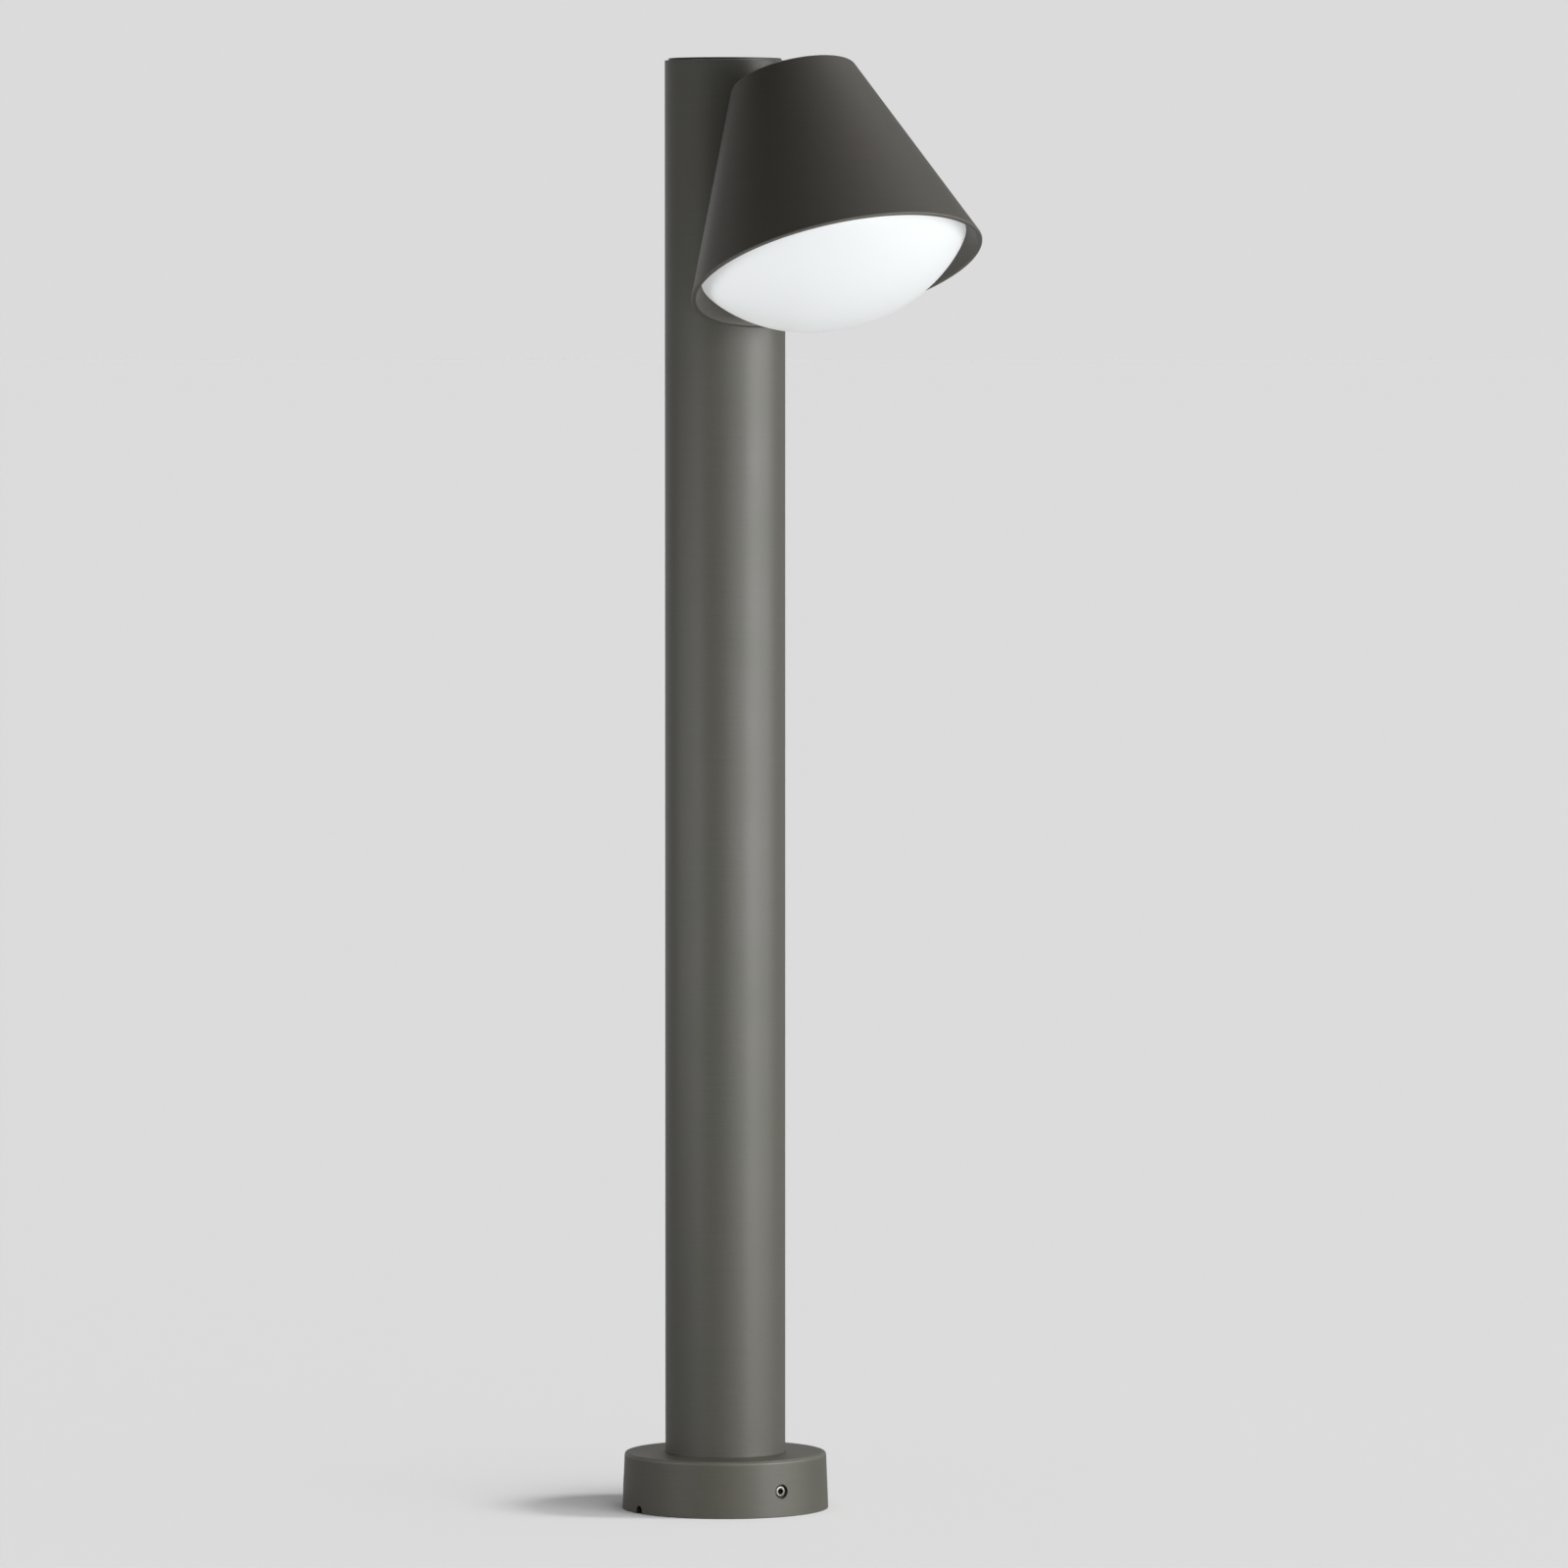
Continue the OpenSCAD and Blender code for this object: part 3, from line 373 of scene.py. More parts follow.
@dataclass
class Outline:
    """A half section, listed anticlockwise: outwards at the bottom and back inwards at the top."""

    corners: list[Corner]
    closed: bool = True
    arc_steps: int = 6
    support: float = 0.3

    def points(self) -> Section:
        """Round the corners.

        Returns:
            Radius, height and an edge mark from 0 to 1, in the order that turns faces outwards.
        """
        n = len(self.corners)
        made: Section = []
        for i, corner in enumerate(self.corners):
            at_end = not self.closed and i in (0, n - 1)
            if corner.round == 0 or at_end:
                made.append((corner.r, corner.z, 0.0))
                continue
            made += self._arc(self.corners[i - 1], corner, self.corners[(i + 1) % n])
        if self.closed:
            made.append(made[0])
        return made[::-1]

    def _arc(self, before: Corner, corner: Corner, after: Corner) -> Section:
        """Round one corner.

        Args:
            before: the corner before it.
            corner: the corner to round.
            after: the corner after it.

        Returns:
            The arc's points, with a support point on each side.
        """
        here = Vector((corner.r, corner.z))
        back = (Vector((before.r, before.z)) - here).normalized()
        ahead = (Vector((after.r, after.z)) - here).normalized()
        half = back.angle(ahead) / 2
        reach = corner.round / math.tan(half)
        middle = here + (back + ahead).normalized() * corner.round / math.sin(half)
        first, last = here + back * reach, here + ahead * reach
        support = corner.round * self.support
        points: Section = [(*(first + back * support), 0.0)]
        a, b = first - middle, last - middle
        sweep = a.angle_signed(b)
        for k in range(self.arc_steps + 1):
            turned = a.copy()
            turned.rotate(Matrix.Rotation(-sweep * k / self.arc_steps, 2))
            points.append((*(middle + turned), 1.0))
        points.append((*(last + ahead * support), 0.0))
        return points


def set_marks(mesh: bpy.types.Mesh, name: str, values: list[float]) -> None:
    """Give each of a mesh's points a mark that its finish reads."""
    mesh.attributes.new(name, "FLOAT", "POINT").data.foreach_set("value", values)


def outwards(mesh: bpy.types.Mesh) -> bpy.types.Mesh:
    """Turn a closed mesh's faces outwards and mark its sharp edges.

    Args:
        mesh: the closed mesh.

    Returns:
        The same mesh.
    """
    shape = bmesh.new()
    shape.from_mesh(mesh)
    if shape.calc_volume(signed=True) < 0:
        bmesh.ops.reverse_faces(shape, faces=shape.faces)
    for edge in shape.edges:
        edge.smooth = len(edge.link_faces) == 2 and edge.calc_face_angle() < SHARP_ANGLE
    for face in shape.faces:
        face.smooth = True
    shape.to_mesh(mesh)
    shape.free()
    return mesh


def closed_mesh(shape: bmesh.types.BMesh, name: str) -> bpy.types.Mesh:
    """Turn a closed shape into a mesh with its faces outwards.

    Args:
        shape: the shape, which is used up.
        name: the mesh's name.

    Returns:
        The mesh.
    """
    mesh = bpy.data.meshes.new(name)
    shape.to_mesh(mesh)
    shape.free()
    return outwards(mesh)


def bar(start: Vector, end: Vector, radius: float, name: str = "bar", sides: int = 48) -> bpy.types.Mesh:
    """Make a closed round bar between two points.

    Args:
        start: the middle of one end.
        end: the middle of the other.
        radius: the bar's radius.
        name: the mesh's name.
        sides: how many faces go round.

    Returns:
        The bar's mesh.
    """
    along = end - start
    shape = bmesh.new()
    place = Matrix.Translation((start + end) / 2) @ along.to_track_quat("Z", "Y").to_matrix().to_4x4()
    bmesh.ops.create_cone(shape, cap_ends=True, segments=sides, radius1=radius, radius2=radius,
                          depth=along.length, matrix=place)
    return closed_mesh(shape, name)


def block(low: Vector, high: Vector) -> bpy.types.Mesh:
    """Make a closed box between two corners.

    Args:
        low: the lowest corner.
        high: the highest corner.

    Returns:
        The box's mesh.
    """
    shape = bmesh.new()
    size = high - low
    place = Matrix.Translation((low + high) / 2) @ Matrix.Diagonal((*size, 1))
    bmesh.ops.create_cube(shape, size=1, matrix=place)
    return closed_mesh(shape, "block")


def arch_bar(width: float, rise: float, start: float, end: float, up: bool,
             steps: int = 24) -> bpy.types.Mesh:
    """Make a closed bar along X whose section is a slot end: one side round and the other square.

    Args:
        width: the section's width, twice the radius of its round side.
        rise: how far the square side reaches from the round side's centre.
        start: where the bar starts on the X axis.
        end: where it ends.
        up: True when the square side is on top.
        steps: how many faces the round side has.

    Returns:
        The bar, with the round side's centre on the X axis.
    """
    half, sign = width / 2, 1 if up else -1
    section = [(half, sign * rise), (-half, sign * rise)]
    section += [(-half * math.cos(math.pi * k / steps), -sign * half * math.sin(math.pi * k / steps))
                for k in range(steps + 1)]
    shape = bmesh.new()
    ends = [[shape.verts.new((x, y, z)) for y, z in section] for x in (start, end)]
    for k, (a, b) in enumerate(zip(*ends)):
        c, d = ends[1][k - 1], ends[0][k - 1]
        shape.faces.new((a, b, c, d))
    shape.faces.new(ends[0])
    shape.faces.new(ends[1][::-1])
    bmesh.ops.recalc_face_normals(shape, faces=shape.faces)
    return closed_mesh(shape, "arch_bar")


def curved_block(inner: float, outer: float, low: float, high: float, span: float,
                 steps: int = 12) -> bpy.types.Mesh:
    """Make a closed block that bends round the Z axis, with its middle over the X axis.

    Args:
        inner: inner radius.
        outer: outer radius.
        low: height of its underside.
        high: height of its top.
        span: the angle that it covers, in degrees.
        steps: how many faces go round.

    Returns:
        The block's mesh.
    """
    shape = bmesh.new()
    rings = []
    for k in range(steps + 1):
        angle = math.radians(span * (k / steps - 0.5))
        spot = [(inner, low), (outer, low), (outer, high), (inner, high)]
        rings.append([shape.verts.new((r * math.cos(angle), r * math.sin(angle), z)) for r, z in spot])
    for one, two in zip(rings, rings[1:]):
        for k in range(4):
            shape.faces.new((one[k], one[(k + 1) % 4], two[(k + 1) % 4], two[k]))
    shape.faces.new(rings[0][::-1])
    shape.faces.new(rings[-1])
    return closed_mesh(shape, "curved_block")


def join(name: str, *meshes: bpy.types.Mesh) -> bpy.types.Mesh:
    """Gather several meshes into one.

    Args:
        name: the new mesh's name.
        meshes: the meshes.

    Returns:
        The new mesh.
    """
    shape = bmesh.new()
    for mesh in meshes:
        shape.from_mesh(mesh)
    joined = bpy.data.meshes.new(name)
    shape.to_mesh(joined)
    shape.free()
    return joined


class Body(Enum):
    """The moving bodies that pieces ride on."""

    COLUMN = "column"
    GLASS = "glass"


class Cut(Enum):
    """What carve does with its tools."""

    AWAY = "DIFFERENCE"
    ADD = "UNION"


def carve(mesh: bpy.types.Mesh, name: str, cutters: list[bpy.types.Mesh],
          cut: Cut = Cut.AWAY) -> bpy.types.Mesh:
    """Cut shapes out of a closed mesh, or weld them to it.

    Args:
        mesh: the closed mesh to work on.
        name: the result's name.
        cutters: closed meshes.
        cut: whether the tools are taken away or added.

    Returns:
        The new mesh.
    """
    body = new_object(name + "_body", mesh)
    tools = [new_object(name + "_tool", cutter) for cutter in cutters]
    for tool in tools:
        modifier = body.modifiers.new("cut", "BOOLEAN")
        modifier.operation, modifier.solver, modifier.object = cut.value, "MANIFOLD", tool
    result = applied(body, name)
    for spare in [body, *tools]:
        bpy.data.objects.remove(spare)
    return outwards(result)


def mark_recess(mesh: bpy.types.Mesh, radius: float, depth: float,
                mouth: float = 0.6) -> bpy.types.Mesh:
    """Mark the points of a socket, so that its finish paints shade there.

    Args:
        mesh: a screw's mesh, with its head's face up at z = 0.
        radius: the socket's radius across its corners.
        depth: where the full painted shade starts, below the face.
        mouth: how much painted shade the socket's mouth gets, from 0 to 1.

    Returns:
        The same mesh.
    """
    marks, past_corner, past_floor = [], 1.01 * radius, -3 * depth
    for vertex in mesh.vertices:
        inside = math.hypot(vertex.co.x, vertex.co.y) < past_corner and vertex.co.z > past_floor
        marks.append(0.0 if not inside else 1.0 if vertex.co.z < -depth else mouth)
    set_marks(mesh, "recess", marks)
    return mesh


def place(mesh: bpy.types.Mesh, matrix: Matrix) -> bpy.types.Mesh:
    """Move a mesh's points by a matrix."""
    mesh.transform(matrix)
    return mesh


def piece(mesh: bpy.types.Mesh, name: str, body: Body, finish: "Finish",
          node: str) -> None:
    """Make a mesh a finished piece of the object.

    Args:
        mesh: the mesh, in its place.
        name: the piece's name.
        body: the body that it rides on.
        finish: its finish.
        node: the CAD node that it stands for.
    """
    made = new_object(name, mesh)
    mesh.materials.clear()
    mesh.materials.append(finish.material())
    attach(made, body.value)
    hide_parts(node)
    LOG.info("%s: %d faces on %s", name, len(mesh.polygons), body.value)


# ---------------------------------------------------------------- finishes


class SharedEffects:
    """Shader node groups that several finishes use, each built once.

    Heights, gains and offsets weigh the noises against each other.
    """

    STREAKS_PER_METRE = (24.0, 24.0, 720.0)
    PIMPLES_TO_GRAIN = 0.6
    GRAIN_HEIGHT, PIMPLE_HEIGHT = 0.55, -0.45
    # Lighter edges, partly wear and partly a painted highlight: gain and offset of their patches.
    WEAR_GAIN, WEAR_OFFSET = 0.7, 0.5
    # Painted shade in marked recesses: gain and offset of its patches.
    GRIME_GAIN, GRIME_OFFSET = 0.3, 0.7

    @staticmethod
    def start(name: str, inputs: dict[str, float], outputs: tuple[str, ...]) -> Tree:
        """Start a group that reads a place and some values and puts out some values.

        Args:
            name: the group's name.
            inputs: input name to default value.
            outputs: the names of its outputs.

        Returns:
            The group's tree, with its sockets.
        """
        t = Tree(bpy.data.node_groups.new(name, "ShaderNodeTree"))
        t.socket("Place", "Vector")
        for label, value in inputs.items():
            t.socket(label, "Float", value)
        for label in outputs:
            t.socket(label, "Float", output=True)
        return t

    @staticmethod
    def noise(t: Tree, where: bpy.types.NodeSocket, scale: object, detail: float,
              roughness: float) -> bpy.types.NodeSocket:
        """Add a Noise Texture and return its value."""
        return t.add("ShaderNodeTexNoise", {
            "Vector": where, "Scale": scale, "Detail": detail, "Roughness": roughness}).outputs[0]

    @classmethod
    @cache
    def grain(cls) -> bpy.types.NodeTree:
        """Build the group for a fine grain with level streaks over a slow mottle.

        Returns:
            The group, whose tone mixes grain and streaks.
        """
        t = cls.start("fine_grain", {"Grain size": 0.6 * MM, "Mottle size": 20 * MM, "Streaks": 0.0},
                      ("Tone", "Mottle", "Height"))
        given = t.add("NodeGroupInput").outputs
        where = given["Place"]
        fine_scale = t.math("DIVIDE", 1.0, given["Grain size"])
        fine = cls.noise(t, where, fine_scale, 2.0, 0.55)
        pimple = t.add("ShaderNodeTexVoronoi", {
            "Vector": where, "Scale": t.math("MULTIPLY", fine_scale, cls.PIMPLES_TO_GRAIN),
            "Smoothness": 0.6}, feature="SMOOTH_F1").outputs["Distance"]
        slow = cls.noise(t, where, t.math("DIVIDE", 1.0, given["Mottle size"]), 3.0, 0.5)
        flat = t.add("ShaderNodeVectorMath", {0: where, 1: cls.STREAKS_PER_METRE}, operation="MULTIPLY")
        streak = cls.noise(t, flat.outputs[0], 1.0, 3.0, 0.6)
        tone = t.between(given["Streaks"], fine, streak)
        height = t.math("ADD", t.math("MULTIPLY", fine, cls.GRAIN_HEIGHT),
                        t.math("MULTIPLY", pimple, cls.PIMPLE_HEIGHT))
        t.add("NodeGroupOutput", {"Tone": tone, "Mottle": slow, "Height": height})
        return t.tree

    @classmethod
    @cache
    def edge_wear(cls) -> bpy.types.NodeTree:
        """Build the group for lighter edges (wear and painted highlight) and painted shade in recesses.

        Returns:
            The group, which puts out a mask for each.
        """
        t = cls.start("edge_wear", {"Edge": 0.0, "Patch size": 8 * MM, "Amount": 0.3, "Recess": 0.0},
                      ("Wear", "Grime"))
        given = t.add("NodeGroupInput").outputs
        patches = cls.noise(t, given["Place"], t.math("DIVIDE", 1.0, given["Patch size"]), 4.0, 0.65)
        # Lighter edges: partly wear, partly a painted highlight.
        uneven = t.math("MULTIPLY_ADD", patches, cls.WEAR_GAIN, cls.WEAR_OFFSET, clamp=True)
        mask = t.math("MULTIPLY", t.math("MULTIPLY", given["Edge"], uneven), given["Amount"], clamp=True)
        # Painted shade: darkens marked recesses, where shade falls.
        spread = t.math("MULTIPLY_ADD", patches, cls.GRIME_GAIN, cls.GRIME_OFFSET, clamp=True)
        grime = t.math("MULTIPLY", given["Recess"], spread, clamp=True)
        t.add("NodeGroupOutput", {"Wear": mask, "Grime": grime})
        return t.tree


@dataclass(frozen=True)
class Finish:
    """A surface finish: its colour and gloss, and the grain that breaks them up.

    Colours are display levels from 0 to 255, and grain, mottle and depth are lengths. The drift
    shifts the colour slowly between two hues, by a share of it. Edge light is how far marked edges
    are lightened, partly as wear and partly as a painted highlight. Painted shade is the colour
    painted into marked recesses, where shade falls. Streaks is the share of level streaks in the grain.
    """

    name: str
    levels: tuple[int, int, int]
    roughness: float
    metallic: float = 0.0
    grain: float = 0.6 * MM
    mottle: float = 22 * MM
    depth: float = 0.02 * MM
    tone: float = 0.06
    drift: float = 0.05
    drift_one: Colour = (1.0, 0.6, -1.0)
    drift_two: Colour = (-1.0, -0.4, 1.0)
    rough_spread: float = 0.08
    edge_light: float = 0.25
    coat: float = 0.0
    coat_roughness: float = 0.1
    smoothest: float = 0.02
    subsurface: float = 0.0
    transmission: float = 0.0
    glow: float = 0.0
    streaks: float = 0.0
    # Painted shade: the colour painted into marked recesses, where shade falls.
    grime: Colour = (0.012, 0.011, 0.01)
    # Colour of marked edges: partly wear, partly a painted highlight.
    worn_gain: float = 1.8
    worn_lift: float = 0.03
    glow_colour: Colour = (0.985, 1.0, 1.0)
    scatter_depth: float = 4 * MM

    @cache
    def material(self) -> bpy.types.Material:
        """Make the finish's material on first use.

        Returns:
            The material.
        """
        made = bpy.data.materials.new(self.name)
        t = fresh_tree(made)
        shader = t.add("ShaderNodeBsdfPrincipled", {
            "Metallic": self.metallic, "Coat Weight": self.coat, "Coat Roughness": self.coat_roughness,
            "Subsurface Weight": self.subsurface, "Subsurface Radius": (1.0, 1.0, 1.0),
            "Subsurface Scale": self.scatter_depth, "Transmission Weight": self.transmission,
            "Emission Color": (*self.glow_colour, 1.0), "Emission Strength": self.glow})
        t.add("ShaderNodeOutputMaterial", {"Surface": shader.outputs[0]})
        where = t.add("ShaderNodeTexCoord").outputs["Object"]
        grain = t.add("ShaderNodeGroup", {
            "Place": where, "Grain size": self.grain, "Mottle size": self.mottle,
            "Streaks": self.streaks}, node_tree=SharedEffects.grain())
        edge, recess = (t.add("ShaderNodeAttribute", attribute_name=mark).outputs["Fac"]
                        for mark in ("edge", "recess"))
        # Lighter marked edges are partly wear and partly a painted highlight; marked recesses get painted shade.
        wear = t.add("ShaderNodeGroup", {
            "Place": where, "Edge": edge, "Recess": recess, "Amount": self.edge_light},
            node_tree=SharedEffects.edge_wear())
        self._colour(t, shader, grain, wear)
        self._roughness(t, shader, grain)
        bump = t.add("ShaderNodeBump", {"Height": grain.outputs["Height"], "Distance": self.depth,
                                        "Strength": 1.0})
        t.tree.links.new(bump.outputs[0], shader.inputs["Normal"])
        return made

    def _colour(self, t: Tree, shader: bpy.types.Node, grain: bpy.types.Node,
                wear: bpy.types.Node) -> None:
        """Vary the colour with grain and drift; lighten marked edges (wear and painted highlight) and paint shade
        into marked recesses.

        Args:
            t: the material's tree.
            shader: its Principled BSDF.
            grain: the node of the grain group.
            wear: the node of the group for lighter edges and painted shade.
        """
        base = from_srgb(self.levels)
        dark = tuple(c * (1 - self.tone) for c in base)
        light = tuple(c * (1 + self.tone) for c in base)
        # Lighter edge colour: partly wear, partly a painted highlight.
        worn = tuple(min(1.0, c * self.worn_gain + self.worn_lift) for c in base)
        hues = [tuple(1 + self.drift * c for c in hue) for hue in (self.drift_one, self.drift_two)]
        fine = t.mix(grain.outputs["Tone"], dark, light)
        slow = t.mix(grain.outputs["Mottle"], *hues)
        mixed = t.mix(1.0, fine, slow, "MULTIPLY")
        rubbed = t.mix(wear.outputs["Wear"], mixed, worn)
        # Painted shade in the marked recesses.
        final = t.mix(wear.outputs["Grime"], rubbed, self.grime)
        t.tree.links.new(final, shader.inputs["Base Color"])

    def _roughness(self, t: Tree, shader: bpy.types.Node, grain: bpy.types.Node) -> None:
        """Vary the roughness a little with the slow mottle.

        Args:
            t: the material's tree.
            shader: its Principled BSDF.
            grain: the node of the grain group.
        """
        low = max(self.smoothest, self.roughness - self.rough_spread)
        high = min(1.0, self.roughness + self.rough_spread)
        spread = t.add("ShaderNodeMapRange", {
            "Value": grain.outputs["Mottle"], "To Min": low, "To Max": high})
        t.tree.links.new(spread.outputs[0], shader.inputs["Roughness"])


GRAPHITE = Finish("column_graphite", (92, 92, 86), roughness=0.42, grain=0.9 * MM, mottle=55 * MM,
                  depth=0.05 * MM, tone=0.16, drift=0.06, drift_one=(1.0, -0.3, -0.2),
                  drift_two=(-0.4, 0.3, -1.0), edge_light=0.35, rough_spread=0.05, streaks=0.45)
BASE_GRAPHITE = replace(GRAPHITE, name="base_graphite", levels=(93, 92, 84))
# The shade's coat is the column's coat, slightly warmer, with darker levels; the darker levels are painted shade.
SHADE_GRAPHITE = replace(GRAPHITE, name="shade_graphite", levels=(87, 85, 80), mottle=70 * MM)
# The glow is painted light: a faint emission that stands for light passing through the opal glass.
OPAL = Finish("satin_opal", (191, 194, 195), roughness=0.3, grain=9 * MM, mottle=45 * MM, depth=0.01 * MM,
              tone=0.006, drift=0.006, rough_spread=0.05, edge_light=0.0, coat=0.1, coat_roughness=0.2,
              subsurface=0.15, glow=0.415)
CAST = Finish("cast_grain_aluminium", (170, 171, 172), roughness=0.42, metallic=0.9, grain=0.5 * MM,
              depth=0.03 * MM, tone=0.08)
STEEL = Finish("turned_stainless", (196, 193, 188), roughness=0.27, metallic=1.0, grain=0.25 * MM,
               mottle=4 * MM, depth=0.006 * MM, tone=0.06, edge_light=0.1)
NICKEL = Finish("satin_nickel", (205, 200, 190), roughness=0.22, metallic=1.0, mottle=6 * MM,
                depth=0.004 * MM)
BRASS = Finish("satin_brass", (205, 168, 96), roughness=0.32, metallic=1.0, mottle=5 * MM,
               depth=0.006 * MM)
GREY_PLASTIC = Finish("moulded_grey", (170, 173, 175), roughness=0.55, grain=0.8 * MM, tone=0.03)
CORE_PLASTIC = Finish("smooth_insulation", (120, 72, 44), roughness=0.45, mottle=8 * MM,
                      depth=0.005 * MM)
RUBBER = Finish("matt_rubber", (38, 38, 38), roughness=0.75, grain=0.5 * MM)
SILICONE = Finish("soft_silicone", (222, 220, 214), roughness=0.5, depth=0.008 * MM, tone=0.02,
                  subsurface=0.2)
CERAMIC = Finish("glazed_ceramic", (236, 234, 228), roughness=0.3, grain=1.5 * MM, depth=0.01 * MM,
                 tone=0.015)
ENAMEL = Finish("baked_enamel", (240, 240, 237), roughness=0.35, grain=1.2 * MM, depth=0.012 * MM,
                tone=0.012)
FUSE_GLASS = Finish("clear_fuse_glass", (235, 242, 242), roughness=0.05, depth=0.001 * MM, tone=0.01,
                    transmission=0.8)
LAMP_PLASTIC = Finish("moulded_white", (236, 236, 234), roughness=0.4, depth=0.008 * MM, tone=0.01)
DIFFUSER = Finish("satin_diffuser", (247, 247, 245), roughness=0.45, depth=0.005 * MM, tone=0.008,
                  subsurface=0.3)

SLOT_FINISH = {
    "graphite_coat": GRAPHITE, "bare_aluminium": CAST, "stainless_steel": STEEL, "nickel": NICKEL,
    "brass": BRASS, "grey_plastic": GREY_PLASTIC, "core_plastic": CORE_PLASTIC, "black_rubber": RUBBER,
    "silicone": SILICONE, "white_ceramic": CERAMIC, "white_enamel": ENAMEL, "opal_glass": OPAL,
    "fuse_glass": FUSE_GLASS, "lamp_plastic": LAMP_PLASTIC, "lamp_diffuser": DIFFUSER}


# ---------------------------------------------------------------- sub-assemblies


@dataclass
class Workshop:
    """The two geometry tools that the sub-assemblies share."""

    lathe: Lathe = field(default_factory=Lathe)
    ring: Ring = field(default_factory=Ring)


@dataclass
class HeadPlace:
    """The head's own frame: its mouth is at z = 0, and its axis is the glass's turning axis."""

    origin: Vector
    axis: Vector

    @classmethod
    def from_frame(cls) -> "HeadPlace":
        """Read the place from the joint that the glass turns on."""
        joint = next(j for j in frame["joints"] if j["name"] == "glass_twist")
        return cls(Vector(joint["pos_m"]), Vector(joint["axis"]).normalized())

    @property
    def tilt(self) -> float:
        """The angle between the head's axis and the vertical."""
        return math.atan2(self.axis.y, self.axis.z)

    def matrix(self) -> Matrix:
        """Return the matrix from the head's frame to the part's."""
        return Matrix.Translation(self.origin) @ Matrix.Rotation(-self.tilt, 4, "X")


@dataclass
class Screw:
    """A screw with a hexagon socket, its end with the socket up at z = 0.

    The socket's size is half of what is across its flats. Painted shade darkens the socket below
    the painted shade depth, a share of the socket's own.
    """

    shop: Workshop
    radius: float
    head: float
    head_height: float
    length: float
    socket: float
    socket_depth: float
    # Painted shade in the socket and on the thread, where shade falls.
    grime_depth: float = 0.6
    thread_grime: float = 0.9
    dish: float = 0.25 * MM

    def socketed(self, blank: Outline, name: str, steps: int) -> bpy.types.Mesh:
        """Turn a screw's blank and cut its socket.

        Args:
            blank: the screw's outline.
            name: the screw's name.
            steps: how many faces go round.

        Returns:
            The screw, with painted shade marked in its socket.
        """
        corner = self.socket / math.cos(math.pi / 6)
        tool = bar(Vector((0, 0, -self.socket_depth)), Vector((0, 0, OVERLAP)), corner, "socket", sides=6)
        made = carve(self.shop.lathe.turn(blank, name + "_blank", steps), name, [tool])
        return mark_recess(made, corner, self.grime_depth * self.socket_depth)

    def countersunk(self, name: str) -> bpy.types.Mesh:
        """Make a countersunk screw.

        Args:
            name: the mesh's name.

        Returns:
            The screw's mesh.
        """
        edge, tip, lead = 0.2 * MM, self.radius * 0.8, self.radius * 0.3
        return self.socketed(Outline([
            Corner(0, -self.length), Corner(tip, -self.length), Corner(self.radius, -self.length + lead),
            Corner(self.radius, -self.head_height), Corner(self.head, -edge, edge),
            Corner(self.head - edge, 0, edge * 0.5), Corner(0, 0)], closed=False), name, steps=48)

    def headless(self, name: str) -> bpy.types.Mesh:
        """Make a set screw with a cone point and a dished, chamfered end.

        Args:
            name: the mesh's name.

        Returns:
            The screw's mesh, with painted shade marked on its thread too.
        """
        chamfer, tip = self.radius * 0.2, self.radius * 0.5
        dish_edge, dish_floor = self.socket * 1.32, self.socket * 1.18
        made = self.socketed(Outline([
            Corner(0, -self.length), Corner(tip, -self.length), Corner(self.radius, -self.length + tip),
            Corner(self.radius, -chamfer), Corner(self.radius - chamfer, 0, chamfer * 0.6),
            Corner(dish_edge, 0), Corner(dish_floor, -self.dish), Corner(0, -self.dish)], closed=False),
            name, steps=64)
        # Painted shade on the chamfer and thread, where the counterbore shades them.
        marks, thread_start = made.attributes["recess"].data, self.radius - 0.3 * chamfer
        for vertex in made.vertices:
            if math.hypot(vertex.co.x, vertex.co.y) > thread_start:
                marks[vertex.index].value = self.thread_grime
        return made


def saddle_middle() -> float:
    """Return the height at which the head is bolted to the column."""
    low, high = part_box("head_saddle")
    return (low.z + high.z) / 2


